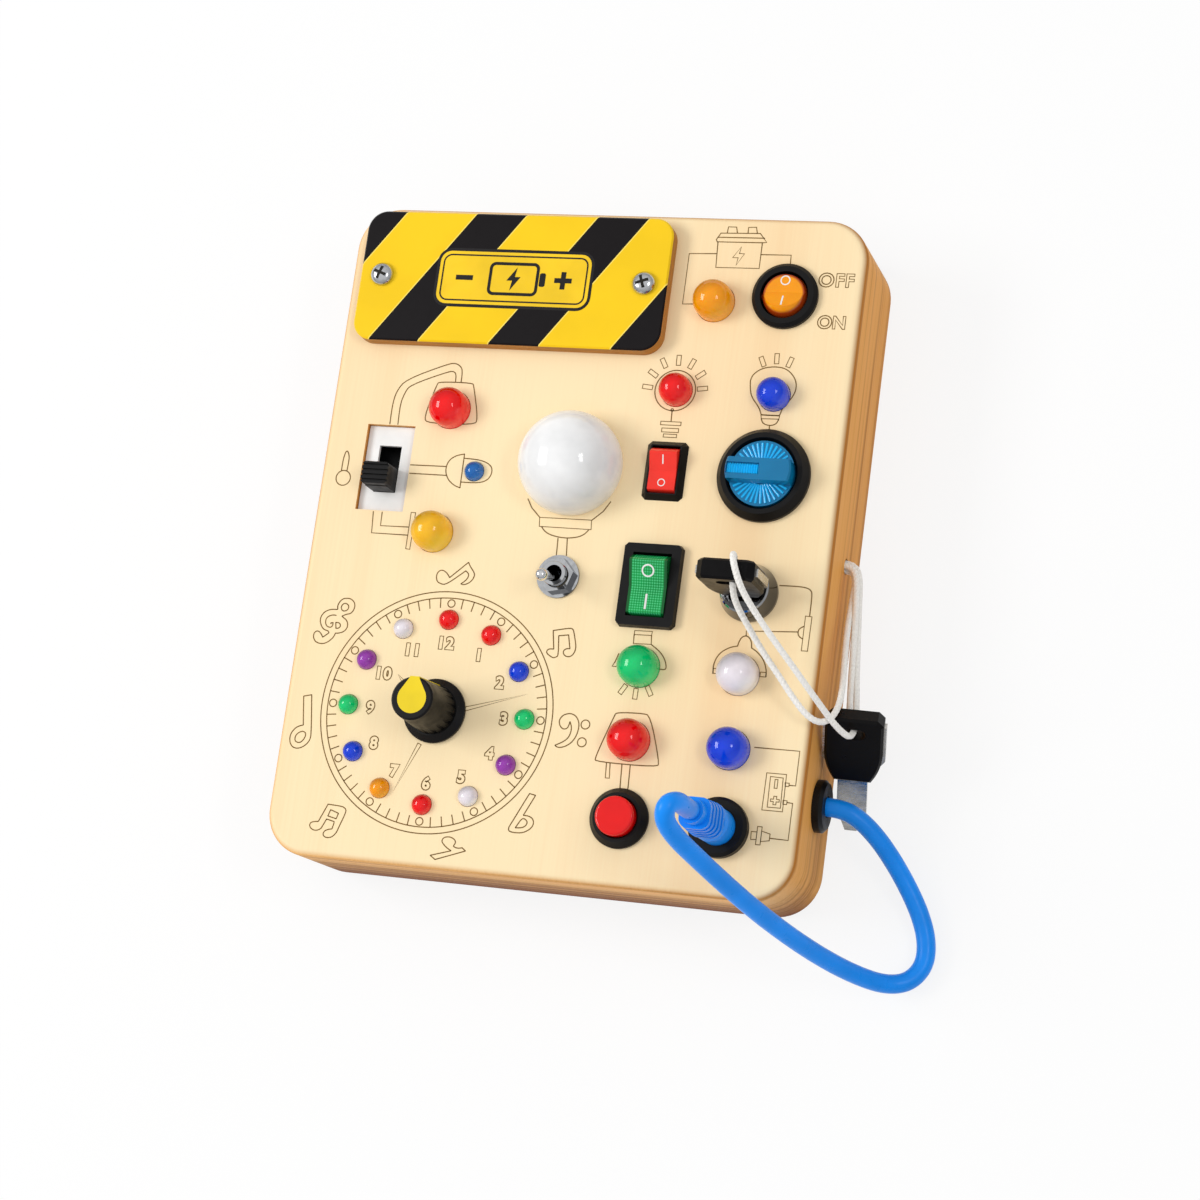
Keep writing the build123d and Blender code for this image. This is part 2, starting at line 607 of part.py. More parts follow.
small_place = (SMALL_X, SMALL_Y)
small_pivot_z = BOARD_T - SMALL_PIVOT
small_housing = make_rocker_housing(
    *small_place, SMALL_BEZEL, SMALL_BODY, SMALL_WELL, SMALL_BODY_L, SMALL_BEZEL_H, SMALL_SLOPE, small_pivot_z
)
keep(small_housing, "small_rocker_housing")
keep(make_rocker_button(*small_place, SMALL_WELL, small_pivot_z, SMALL_CROWN), "small_rocker_button")

large_place = (LARGE_X, LARGE_Y)
large_pivot_z = BOARD_T - LARGE_PIVOT
large_housing = make_rocker_housing(
    *large_place, LARGE_BEZEL, LARGE_BODY, LARGE_WELL, LARGE_BODY_L, LARGE_BEZEL_H, LARGE_SLOPE, large_pivot_z
)
keep(large_housing, "large_rocker_housing")
keep(make_rocker_button(*large_place, LARGE_WELL, large_pivot_z, LARGE_CROWN), "large_rocker_button")

round_pivot_z = BOARD_T - LARGE_PIVOT
with BuildPart() as round_rocker_housing:
    top_z = BOARD_T + ROUND_BEZEL_H
    with BuildSketch(section_at(ROUND_X, ROUND_Y)):
        with BuildLine():
            Polyline(
                (0, BOARD_T - ROUND_BODY_L),
                (ROUND_BODY_R, BOARD_T - ROUND_BODY_L),
                (ROUND_BODY_R, BOARD_T),
                (ROUND_BEZEL_R, BOARD_T),
                (ROUND_BEZEL_R, top_z - 0.9),
                (ROUND_BEZEL_R - 0.9, top_z),
                (ROUND_WELL_R, top_z),
                (ROUND_WELL_R, round_pivot_z - ROUND_WELL_R),
                (0, round_pivot_z - ROUND_WELL_R),
                close=True,
            )
        make_face()
    revolve(axis=axis_at(ROUND_X, ROUND_Y))
    with BuildSketch(Plane.XY.offset(BOARD_T - ROUND_BODY_L)):
        with Locations((ROUND_X, ROUND_Y)):
            with GridLocations(0, 7.0, 1, 2):
                Rectangle(TAB_W, TAB_T)
    extrude(amount=-TAB_L)
    with BuildSketch(pivot_plane(ROUND_X, ROUND_Y, round_pivot_z)):
        Circle(PIN_R + RUN)
    extrude(amount=ROUND_WELL_R + PIN_REACH + SLIDE_GAP, both=True, mode=Mode.SUBTRACT)
keep(round_rocker_housing.part, "round_rocker_housing")

with BuildPart() as round_rocker_button:
    with BuildSketch(pivot_plane(ROUND_X, ROUND_Y, round_pivot_z, -ROUND_TILT)):
        with BuildLine():
            half = ROUND_BUTTON_R + 1
            slope = half * tan(radians(ROUND_TILT))
            Polyline(
                (-half, -3.4),
                (half, -3.4),
                (half, 2.6 + slope),
                (0, 2.6),
                (-half, 2.6 + slope),
                close=True,
            )
        make_face()
    extrude(amount=half, both=True)
    with Locations((ROUND_X, ROUND_Y, round_pivot_z)):
        Sphere(ROUND_BUTTON_R, mode=Mode.INTERSECT)
    with BuildSketch(pivot_plane(ROUND_X, ROUND_Y, round_pivot_z)):
        Circle(PIN_R)
    extrude(amount=ROUND_WELL_R + PIN_REACH, both=True)
keep(round_rocker_button.part, "round_rocker_button")

# ---------------------------------------------------------------- rotary light switch

turn_floor_z = BOARD_T - TURN_FLOOR
with BuildPart() as turn_switch_housing:
    bezel_z = BOARD_T + TURN_BEZEL_H
    well_r = TURN_KNOB_R + TURN_WELL_GAP
    with BuildSketch(section_at(TURN_X, TURN_Y)):
        with BuildLine():
            Polyline(
                (0, BOARD_T - TURN_BODY_L),
                (TURN_BODY_R, BOARD_T - TURN_BODY_L),
                (TURN_BODY_R, BOARD_T),
                (TURN_BEZEL_R, BOARD_T),
                (TURN_BEZEL_R, BOARD_T + 1.2),
                (TURN_BEZEL_R - 1.4, bezel_z),
                (well_r + 0.5, bezel_z),
                (well_r, bezel_z - 1.0),
                (well_r, turn_floor_z),
                (SHAFT_R + RUN, turn_floor_z),
                (SHAFT_R + RUN, turn_floor_z - TURN_STEM_L - 0.5),
                (0, turn_floor_z - TURN_STEM_L - 0.5),
                close=True,
            )
        make_face()
    revolve(axis=axis_at(TURN_X, TURN_Y))
    with BuildSketch(Plane.XY.offset(BOARD_T - TURN_BODY_L)):
        with Locations((TURN_X, TURN_Y)):
            with GridLocations(0, 10.0, 1, 2):
                Rectangle(TAB_W, TAB_T)
    extrude(amount=-TAB_L)
keep(turn_switch_housing.part, "turn_switch_housing")

with BuildPart() as turn_switch_knob:
    knob_top = BOARD_T + TURN_KNOB_RISE
    with BuildSketch(Plane.XY.offset(turn_floor_z + SLIDE_GAP)):
        with Locations((TURN_X, TURN_Y)):
            Circle(TURN_KNOB_R)
    extrude(amount=knob_top - turn_floor_z - SLIDE_GAP)
    chamfer(turn_switch_knob.faces().sort_by(Axis.Z)[-1].edges(), 0.4)
    # Two D-shaped steps leave the grip bar standing across the knob
    with BuildSketch(Plane.XY.offset(knob_top)):
        with Locations((TURN_X, TURN_Y)):
            with GridLocations(0, TURN_GRIP_W + 2 * TURN_KNOB_R, 1, 2):
                Rectangle(3 * TURN_KNOB_R, 2 * TURN_KNOB_R)
    extrude(amount=-TURN_GRIP_H, mode=Mode.SUBTRACT)
    # Window along one half of the bar: the pointer
    with BuildSketch(Plane.XY.offset(knob_top)):
        with Locations((TURN_X - TURN_KNOB_R / 2 + 0.3, TURN_Y)):
            Rectangle(TURN_KNOB_R, 2.8)
    extrude(amount=-0.8, mode=Mode.SUBTRACT)
    with BuildSketch(Plane.XY.offset(turn_floor_z + SLIDE_GAP)):
        with Locations((TURN_X, TURN_Y)):
            Circle(SHAFT_R)
    extrude(amount=-TURN_STEM_L)
keep(turn_switch_knob.part, "turn_switch_knob")

# ---------------------------------------------------------------- slide switch

slide_face_z = BOARD_T - SLIDE_SINK
case_top_z = slide_face_z - SLIDE_PLATE_T
shoe_top_z = case_top_z - 1.0
shoe_z = shoe_top_z - SHOE_H
slide_travel = SLOT_L - STEM_L - 2 * FIT
rest_y = SLIDE_Y - slide_travel / 2

with BuildPart() as slide_switch_plate:
    with BuildSketch(Plane.XY.offset(case_top_z)):
        with Locations((SLIDE_X, SLIDE_Y)):
            Rectangle(SLIDE_W - 2 * FIT, SLIDE_L - 2 * FIT)
            Rectangle(SLOT_W, SLOT_L, mode=Mode.SUBTRACT)
    extrude(amount=SLIDE_PLATE_T)
keep(slide_switch_plate.part, "slide_switch_plate")

with BuildPart() as slide_switch_case:
    with BuildSketch(Plane.XY.offset(case_top_z)):
        with Locations((SLIDE_X, SLIDE_Y)):
            Rectangle(SLIDE_W - 2 * FIT, SLIDE_L - 2 * FIT)
    extrude(amount=-CASE_DEPTH)
    # Ears that lie against the back of the front wall
    with BuildSketch(Plane.XY.offset(INNER_Z)):
        with Locations((SLIDE_X, SLIDE_Y)):
            RectangleRounded(EAR_W, EAR_L, 1.5)
    extrude(amount=-EAR_T)
    with BuildSketch(Plane.XY.offset(case_top_z)):
        with Locations((SLIDE_X, SLIDE_Y)):
            Rectangle(SLOT_W, SLOT_L)
    extrude(amount=shoe_z - case_top_z, mode=Mode.SUBTRACT)
    with BuildSketch(Plane.XY.offset(shoe_top_z)):
        with Locations((SLIDE_X, SLIDE_Y)):
            Rectangle(SHOE_W + 2 * SLIDE_GAP, SHOE_L + slide_travel + 2 * SLIDE_GAP)
    extrude(amount=-SHOE_H - SLIDE_GAP, mode=Mode.SUBTRACT)
    with BuildSketch(Plane.XY.offset(case_top_z - CASE_DEPTH)):
        with Locations((SLIDE_X, SLIDE_Y)):
            with GridLocations(5.0, 5.0, 2, 3):
                Rectangle(TAB_T, 1.6)
    extrude(amount=-4.0)
keep(slide_switch_case.part, "slide_switch_case")

with BuildPart() as slide_switch_slider:
    grip_top = BOARD_T + GRIP_RISE
    with BuildSketch(Plane.XY.offset(shoe_z)):
        with Locations((SLIDE_X, rest_y)):
            Rectangle(SHOE_W, SHOE_L)
    extrude(amount=SHOE_H - SLIDE_GAP)
    with BuildSketch(Plane.XY.offset(shoe_z)):
        with Locations((SLIDE_X, rest_y)):
            Rectangle(SLOT_W - 2 * FIT, STEM_L)
    extrude(amount=grip_top - GRIP_H / 2 - shoe_z)
    with BuildSketch(Plane.XY.offset(grip_top - GRIP_H)):
        with Locations((SLIDE_X, rest_y)):
            RectangleRounded(GRIP_W, GRIP_L, 0.8)
    extrude(amount=GRIP_H)
    # Ridges across the grip
    with BuildSketch(Plane.XY.offset(grip_top)):
        with Locations((SLIDE_X, rest_y)):
            with GridLocations(0, 1.3, 1, 4):
                Rectangle(GRIP_W, 0.55)
    extrude(amount=-0.6, mode=Mode.SUBTRACT)
keep(slide_switch_slider.part, "slide_switch_slider")

# ---------------------------------------------------------------- toggle switch

toggle_top = INNER_Z + TOGGLE_BUSH_L
toggle_pivot_z = BOARD_T + TOGGLE_PIVOT
with BuildPart() as toggle_switch_body:
    with BuildSketch(Plane.XY.offset(INNER_Z)):
        with Locations((TOGGLE_X, TOGGLE_Y)):
            Rectangle(TOGGLE_CASE_W, TOGGLE_CASE_L)
    extrude(amount=-TOGGLE_CASE_H)
    with BuildSketch(Plane.XY.offset(INNER_Z)):
        with Locations((TOGGLE_X, TOGGLE_Y)):
            Circle(TOGGLE_BUSH_R)
    extrude(amount=TOGGLE_BUSH_L)
    with BuildSketch(Plane.XY.offset(toggle_top)):
        with Locations((TOGGLE_X, TOGGLE_Y)):
            Circle(TOGGLE_BORE_R)
    extrude(amount=toggle_pivot_z - 2 * TOGGLE_BORE_R - toggle_top, mode=Mode.SUBTRACT)
    with BuildSketch(Plane.XY.offset(INNER_Z - TOGGLE_CASE_H)):
        with Locations((TOGGLE_X, TOGGLE_Y)):
            with GridLocations(0, 4.7, 1, 3):
                Rectangle(2.0, TAB_T)
    extrude(amount=-4.5)
keep(toggle_switch_body.part, "toggle_switch_body")

with BuildPart() as toggle_nut_and_washer:
    with BuildSketch(Plane.XY.offset(BOARD_T)):
        with Locations((TOGGLE_X, TOGGLE_Y)):
            Circle(WASHER_R)
            Circle(TOGGLE_BUSH_R + FIT, mode=Mode.SUBTRACT)
    extrude(amount=WASHER_T)
    with BuildSketch(Plane.XY.offset(BOARD_T + WASHER_T)):
        with Locations((TOGGLE_X, TOGGLE_Y)):
            RegularPolygon(TOGGLE_NUT_R, 6, rotation=12)
            Circle(TOGGLE_BUSH_R + RUN, mode=Mode.SUBTRACT)
    extrude(amount=NUT_T)
keep(toggle_nut_and_washer.part, "toggle_nut_and_washer")

with BuildPart() as toggle_lever:
    lean = Plane(
        origin=(TOGGLE_X, TOGGLE_Y, toggle_pivot_z),
        x_dir=(1, 0, 0),
        z_dir=(0, -cos(radians(TOGGLE_TILT)), -sin(radians(TOGGLE_TILT))),
    )
    ball_r = TOGGLE_BORE_R - FIT
    neck_v = (ball_r**2 - LEVER_NECK_R**2) ** 0.5
    with BuildSketch(lean):
        with BuildLine():
            ThreePointArc((0, -ball_r), (ball_r, 0), (LEVER_NECK_R, neck_v))
            Polyline(
                (LEVER_NECK_R, neck_v),
                (LEVER_NECK_R, LEVER_L * 0.45),
                (LEVER_TIP_R, LEVER_L - LEVER_TIP_R),
            )
            CenterArc((0, LEVER_L - LEVER_TIP_R), LEVER_TIP_R, 0, 90)
            Line((0, LEVER_L), (0, -ball_r))
        make_face()
    lever_up = (0, -sin(radians(TOGGLE_TILT)), cos(radians(TOGGLE_TILT)))
    revolve(axis=Axis((TOGGLE_X, TOGGLE_Y, toggle_pivot_z), lever_up))
keep(toggle_lever.part, "toggle_lever")

# ---------------------------------------------------------------- clock switch and knob

with BuildPart() as clock_rotary_switch:
    bush_top = INNER_Z + BUSH_L
    bore = SHAFT_R + RUN
    with BuildSketch(section_at(CLOCK_X, CLOCK_Y)):
        with BuildLine():
            Polyline(
                (0, INNER_Z - ROTARY_L),
                (ROTARY_R, INNER_Z - ROTARY_L),
                (ROTARY_R, INNER_Z),
                (BUSH_R, INNER_Z),
                (BUSH_R, bush_top),
                (bore, bush_top),
                (bore, INNER_Z - 6),
                (0, INNER_Z - 6),
                close=True,
            )
        make_face()
    revolve(axis=axis_at(CLOCK_X, CLOCK_Y))
    with BuildSketch(Plane.XY.offset(INNER_Z - ROTARY_L)):
        with Locations((CLOCK_X, CLOCK_Y)):
            with PolarLocations(ROTARY_R - 2, 12):
                Rectangle(TAB_T, 1.8)
    extrude(amount=-4.0)
keep(clock_rotary_switch.part, "clock_rotary_switch")

with BuildPart() as clock_rotary_shaft:
    with BuildSketch(Plane.XY.offset(INNER_Z - 5.8)):
        with Locations((CLOCK_X, CLOCK_Y)):
            Circle(SHAFT_R)
    extrude(amount=BOARD_T + SHAFT_TOP - INNER_Z + 5.8)
keep(clock_rotary_shaft.part, "clock_rotary_shaft")

with BuildPart() as clock_knob_cap:
    knob_top_z = BOARD_T + KNOB_LIFT + KNOB_H
    with BuildSketch(Plane.XY.offset(knob_top_z - CAP_T)):
        with Locations((CLOCK_X, CLOCK_Y)):
            Circle(CAP_R)
        with BuildLine():
            tip = KNOB_TOP_R - 0.2
            Polyline(
                (CLOCK_X - CAP_R * 0.8, CLOCK_Y + CAP_R * 0.6),
                (CLOCK_X - STRIPE_W / 2, CLOCK_Y + tip),
                (CLOCK_X + STRIPE_W / 2, CLOCK_Y + tip),
                (CLOCK_X + CAP_R * 0.8, CLOCK_Y + CAP_R * 0.6),
                close=True,
            )
        make_face()
    extrude(amount=CAP_T)
    # Pointer stripe down the flank of the knob, on its taper
    with BuildSketch(Plane.YZ.offset(CLOCK_X)):
        foot_z = BOARD_T + KNOB_LIFT + KNOB_SKIRT_H
        with BuildLine():
            Polyline(
                (CLOCK_Y + KNOB_TOP_R - STRIPE_T, knob_top_z),
                (CLOCK_Y + KNOB_TOP_R + 0.1, knob_top_z),
                (CLOCK_Y + KNOB_R + 0.1, foot_z),
                (CLOCK_Y + KNOB_R - STRIPE_T, foot_z),
                close=True,
            )
        make_face()
    extrude(amount=STRIPE_W / 2, both=True)

with BuildPart() as clock_knob_body:
    skirt_z = BOARD_T + KNOB_LIFT
    with BuildSketch(section_at(CLOCK_X, CLOCK_Y)):
        with BuildLine():
            Polyline(
                (0, skirt_z),
                (KNOB_SKIRT_R, skirt_z),
                (KNOB_SKIRT_R, skirt_z + 0.8),
                (KNOB_R + 0.3, skirt_z + KNOB_SKIRT_H),
                (KNOB_R, skirt_z + KNOB_SKIRT_H),
                (KNOB_TOP_R, knob_top_z),
                (0, knob_top_z),
                close=True,
            )
        make_face()
    revolve(axis=axis_at(CLOCK_X, CLOCK_Y))
    chamfer(clock_knob_body.faces().sort_by(Axis.Z)[-1].edges(), 0.4)
    # Flutes round the grip
    with BuildSketch(Plane.XY.offset(skirt_z + KNOB_SKIRT_H)):
        with Locations((CLOCK_X, CLOCK_Y)):
            with PolarLocations(KNOB_R + 0.15, KNOB_FLUTES, start_angle=180 / KNOB_FLUTES):
                Circle(FLUTE_R)
    extrude(amount=KNOB_H, mode=Mode.SUBTRACT)
    add(clock_knob_cap.part, mode=Mode.SUBTRACT)
    # Room for the panel nut and the bush, then the bore for the shaft
    with BuildSketch(Plane.XY.offset(skirt_z)):
        with Locations((CLOCK_X, CLOCK_Y)):
            Circle(NUT_R + 0.35)
    extrude(amount=NUT_T - KNOB_LIFT + 0.25, mode=Mode.SUBTRACT)
    with BuildSketch(Plane.XY.offset(skirt_z)):
        with Locations((CLOCK_X, CLOCK_Y)):
            Circle(BUSH_R + 0.4)
    extrude(amount=INNER_Z + BUSH_L + 0.5 - skirt_z, mode=Mode.SUBTRACT)
    with BuildSketch(Plane.XY.offset(skirt_z)):
        with Locations((CLOCK_X, CLOCK_Y)):
            Circle(SHAFT_R)
    extrude(amount=SHAFT_TOP - KNOB_LIFT, mode=Mode.SUBTRACT)
keep(clock_knob_body.part, "clock_knob_body")
keep(clock_knob_cap.part, "clock_knob_cap")

# ---------------------------------------------------------------- key lock

lock_top = BOARD_T + LOCK_HEAD_H
core_top = lock_top - LOCK_SINK
key_tip_z = BOARD_T + KEY_TOP - KEY_L
with BuildPart() as lock_body:
    barrel_z = BOARD_T - LOCK_BARREL_L
    core_bore = LOCK_CORE_R + RUN
    with BuildSketch(section_at(COLUMN_B, SWITCH_ROW)):
        with BuildLine():
            Polyline(
                (0, barrel_z),
                (THREAD_R, barrel_z),
                (THREAD_R, BOARD_T),
                (LOCK_HEAD_R, BOARD_T),
                (LOCK_HEAD_R, BOARD_T + 1.0),
                (LOCK_FACE_R, lock_top - 0.4),
                (LOCK_FACE_R - 0.4, lock_top),
                (core_bore + 0.5, lock_top),
                (core_bore + 0.5, core_top),
                (core_bore, core_top),
                (core_bore, barrel_z + 2),
                (0, barrel_z + 2),
                close=True,
            )
        make_face()
    revolve(axis=axis_at(COLUMN_B, SWITCH_ROW))
    with BuildSketch(Plane.XY.offset(barrel_z)):
        with Locations((COLUMN_B, SWITCH_ROW)):
            with GridLocations(0, 6.0, 1, 2):
                Rectangle(3.0, TAB_T)
    extrude(amount=-5.0)
keep(lock_body.part, "lock_body")

with BuildPart() as lock_core:
    with BuildSketch(Plane.XY.offset(barrel_z + 2 + SLIDE_GAP)):
        with Locations((COLUMN_B, SWITCH_ROW)):
            Circle(LOCK_CORE_R)
    extrude(amount=core_top - SLIDE_GAP - barrel_z - 2)
    with BuildSketch(Plane.XY.offset(core_top)):
        with Locations((COLUMN_B, SWITCH_ROW)):
            Rectangle(BLADE_W + 2 * FIT, BLADE_T + 2 * FIT)
    extrude(amount=key_tip_z - 0.5 - core_top, mode=Mode.SUBTRACT)
keep(lock_core.part, "lock_core")

# One key, drawn with the top of its bow at the origin and its blade pointing down
with BuildPart() as key_blade:
    with BuildSketch(Plane.XZ):
        half_rim = BOW_W / 2 + RIM_OUT
        half_blade = BLADE_W / 2
        slot_low = KEY_SLOT_DROP + KEY_SLOT_H / 2 + 2.0
        with BuildLine():
            Polyline(
                (-half_rim, -2.5),
                (-half_rim, -BOW_L + 6.0),
                (-half_blade, -BOW_L + 0.5),
                (-half_blade, -KEY_L + 6.5),
                (-half_blade + 1.0, -KEY_L + 5.0),
                (-half_blade + 1.0, -KEY_L + 3.5),
                (-half_blade + 2.2, -KEY_L),
                (half_blade - 2.2, -KEY_L),
                (half_blade, -KEY_L + 2.2),
                (half_blade, -BOW_L + 0.5),
                (half_rim, -BOW_L + 6.0),
                (half_rim, -2.5),
                (KEY_SLOT_W / 2 + 1.5, -2.5),
                (KEY_SLOT_W / 2 + 1.5, -slot_low),
                (-KEY_SLOT_W / 2 - 1.5, -slot_low),
                (-KEY_SLOT_W / 2 - 1.5, -2.5),
                close=True,
            )
        make_face()
    extrude(amount=BLADE_T / 2, both=True)

with BuildPart() as key_bow:
    with BuildSketch(Plane.XZ):
        with BuildLine():
            half_bow = BOW_W / 2
            half_foot = BLADE_W / 2 + 0.8
            Polyline(
                (-half_bow, -BOW_L + 8.0),
                (-half_bow, -BOW_CORNER),
                (-half_bow + BOW_CORNER, 0),
                (half_bow - BOW_CORNER, 0),
                (half_bow, -BOW_CORNER),
                (half_bow, -BOW_L + 8.0),
            )
            ThreePointArc((half_bow, -BOW_L + 8.0), (half_bow - 1.1, -BOW_L + 2.9), (half_foot, -BOW_L))
            Line((half_foot, -BOW_L), (-half_foot, -BOW_L))
            ThreePointArc((-half_foot, -BOW_L), (-half_bow + 1.1, -BOW_L + 2.9), (-half_bow, -BOW_L + 8.0))
        make_face()
    extrude(amount=BOW_T / 2, both=True)
    broad = key_bow.faces().sort_by(Axis.Y)
    chamfer(broad[0].edges() + broad[-1].edges(), 0.6)
    with BuildSketch(Plane.XZ):
        with Locations((0, -KEY_SLOT_DROP)):
            SlotOverall(KEY_SLOT_W, KEY_SLOT_H)
    extrude(amount=BOW_T, both=True, mode=Mode.SUBTRACT)
    add(key_blade.part, mode=Mode.SUBTRACT)

switch_key_place = Location((COLUMN_B, SWITCH_ROW, BOARD_T + KEY_TOP))
keep(key_bow.part.moved(switch_key_place), "switch_key_bow")
keep(key_blade.part.moved(switch_key_place), "switch_key_blade")
spare_key_place = Location(SPARE_TOP, SPARE_TURN)
keep(key_bow.part.moved(spare_key_place), "spare_key_bow")
keep(key_blade.part.moved(spare_key_place), "spare_key_blade")

# ---------------------------------------------------------------- push button

with BuildPart() as push_button_housing:
    push_bore = PUSH_CAP_R + FIT
    push_floor = BOARD_T - 10.0
    push_z = BOARD_T - PUSH_BODY_L
    with BuildSketch(section_at(COLUMN_A, BOTTOM_ROW)):
        with BuildLine():
            Polyline(
                (0, push_z),
                (THREAD_R, push_z),
                (THREAD_R, BOARD_T),
                (PUSH_BEZEL_R, BOARD_T),
                (PUSH_BEZEL_R, BOARD_T + 0.8),
                (PUSH_BEZEL_R - 1.3, BOARD_T + PUSH_BEZEL_H),
                (push_bore + 0.3, BOARD_T + PUSH_BEZEL_H),
                (push_bore, BOARD_T + PUSH_BEZEL_H - 0.3),
                (push_bore, push_floor),
                (0, push_floor),
                close=True,
            )
        make_face()
    revolve(axis=axis_at(COLUMN_A, BOTTOM_ROW))
    with BuildSketch(Plane.XY.offset(push_z)):
        with Locations((COLUMN_A, BOTTOM_ROW)):
            with GridLocations(6.0, 0, 2, 1):
                Rectangle(TAB_T, 2.8)
    extrude(amount=-6.0)
keep(push_button_housing.part, "push_button_housing")

with BuildPart() as push_button_cap:
    with BuildSketch(Plane.XY.offset(push_floor + PUSH_TRAVEL + 0.1)):
        with Locations((COLUMN_A, BOTTOM_ROW)):
            Circle(PUSH_CAP_R)
    extrude(amount=BOARD_T + PUSH_CAP_RISE - push_floor - PUSH_TRAVEL - 0.1)
    fillet(push_button_cap.faces().sort_by(Axis.Z)[-1].edges(), 0.7)
keep(push_button_cap.part, "push_button_cap")

# ---------------------------------------------------------------- plug socket and plug

with BuildPart() as plug_socket:
    jack_z = BOARD_T - JACK_BODY_L
    jack_top = BOARD_T + JACK_BEZEL_H
    seat_z = BOARD_T - PLUG_SEAT
    pin_z = seat_z - PLUG_PIN_L
    with BuildSketch(section_at(COLUMN_B, BOTTOM_ROW)):
        with BuildLine():
            Polyline(
                (0, jack_z),
                (THREAD_R, jack_z),
                (THREAD_R, BOARD_T),
                (JACK_BEZEL_R, BOARD_T),
                (JACK_BEZEL_R, jack_top - 0.8),
                (JACK_BEZEL_R - 0.8, jack_top),
                (PLUG_R + FIT, jack_top),
                (PLUG_R + FIT, seat_z),
                (PIN_TIP_R + RUN, seat_z),
                (PIN_TIP_R + RUN, pin_z - 0.3),
                (0, pin_z - 0.3),
                close=True,
            )
        make_face()
    revolve(axis=axis_at(COLUMN_B, BOTTOM_ROW))
    with BuildSketch(Plane.XY.offset(jack_z)):
        with Locations((COLUMN_B, BOTTOM_ROW)):
            with GridLocations(6.0, 0, 2, 1):
                Rectangle(TAB_T, 2.8)
    extrude(amount=-5.0)
keep(plug_socket.part, "plug_socket")

with BuildPart() as plug_boot:
    boot_z = seat_z + 0.1
    shoulder_z = BOARD_T + PLUG_SHOULDER
    boot_top = BOARD_T + PLUG_H
    with BuildSketch(section_at(COLUMN_B, BOTTOM_ROW)):
        with BuildLine():
            Polyline(
                (0, boot_z),
                (PLUG_R, boot_z),
                (PLUG_R, shoulder_z - 1.5),
                (PLUG_R - 0.5, shoulder_z),
                (PLUG_NECK_R, shoulder_z),
                (PLUG_TOP_R, boot_top),
                (0, boot_top),
                close=True,
            )
        make_face()
    revolve(axis=axis_at(COLUMN_B, BOTTOM_ROW))
    # Strain-relief ribs, each a little smaller than the one below
    for rib in range(PLUG_RIBS):
        rib_z = shoulder_z + RIB_PITCH * (rib + 0.5)
        rib_side = 2 * (PLUG_R - 0.3) - 0.25 * rib
        with BuildSketch(Plane.XY.offset(rib_z)):
            with Locations((COLUMN_B, BOTTOM_ROW)):
                RectangleRounded(rib_side, rib_side, rib_side * 0.32)
        extrude(amount=RIB_T)
keep(plug_boot.part, "plug_boot")

with BuildPart() as plug_pin:
    with BuildSketch(section_at(COLUMN_B, BOTTOM_ROW)):
        with BuildLine():
            Polyline(
                (0, pin_z),
                (0.7, pin_z),
                (PIN_TIP_R, pin_z + 1.4),
                (PIN_TIP_R - 0.45, pin_z + 2.8),
                (PIN_TIP_R, pin_z + 3.6),
                (PIN_TIP_R, boot_z),
                (0, boot_z),
                close=True,
            )
        make_face()
    revolve(axis=axis_at(COLUMN_B, BOTTOM_ROW))
keep(plug_pin.part, "plug_pin")

# Steel nuts: three ring nuts behind the front wall and one under the clock knob
ring_nut_places = [(COLUMN_B, SWITCH_ROW), (COLUMN_A, BOTTOM_ROW), (COLUMN_B, BOTTOM_ROW)]
with BuildPart() as mounting_nuts:
    with BuildSketch(Plane.XY.offset(INNER_Z)):
        with Locations(*ring_nut_places):
            RegularPolygon(RING_NUT_R, 6)
            Circle(THREAD_R + RUN, mode=Mode.SUBTRACT)
    extrude(amount=-RING_NUT_T)
    with BuildSketch(Plane.XY.offset(BOARD_T)):
        with Locations((CLOCK_X, CLOCK_Y)):
            RegularPolygon(NUT_R, 6)
            Circle(BUSH_R + RUN, mode=Mode.SUBTRACT)
    extrude(amount=NUT_T)
keep(mounting_nuts.part, "mounting_nuts")

# ---------------------------------------------------------------- gland, lead and string

side_x = BOARD_W / 2
lead_x = side_x + GLAND_T - GLAND_SINK
with BuildPart() as lead_gland:
    with BuildSketch(Plane.XZ.offset(-GLAND_Y)):
        with BuildLine():
            inner_x = side_x - SIDE_WALL
            Polyline(
                (inner_x - 2.0, SIDE_Z),
                (inner_x - 2.0, SIDE_Z + GLAND_SHANK_R),
                (inner_x - 0.1, SIDE_Z + GLAND_SHANK_R + 0.8),
                (inner_x - 0.1, SIDE_Z + GLAND_SHANK_R),
                (side_x, SIDE_Z + GLAND_SHANK_R),
                (side_x, SIDE_Z + GLAND_R),
                (side_x + GLAND_T - 0.8, SIDE_Z + GLAND_R),
                (side_x + GLAND_T, SIDE_Z + GLAND_R - 0.8),
                (side_x + GLAND_T, SIDE_Z + GLAND_MOUTH_R),
                (lead_x, SIDE_Z + GLAND_MOUTH_R),
                (lead_x, SIDE_Z),
                close=True,
            )
        make_face()
    revolve(axis=Axis((0, GLAND_Y, SIDE_Z), (1, 0, 0)))
keep(lead_gland.part, "lead_gland")

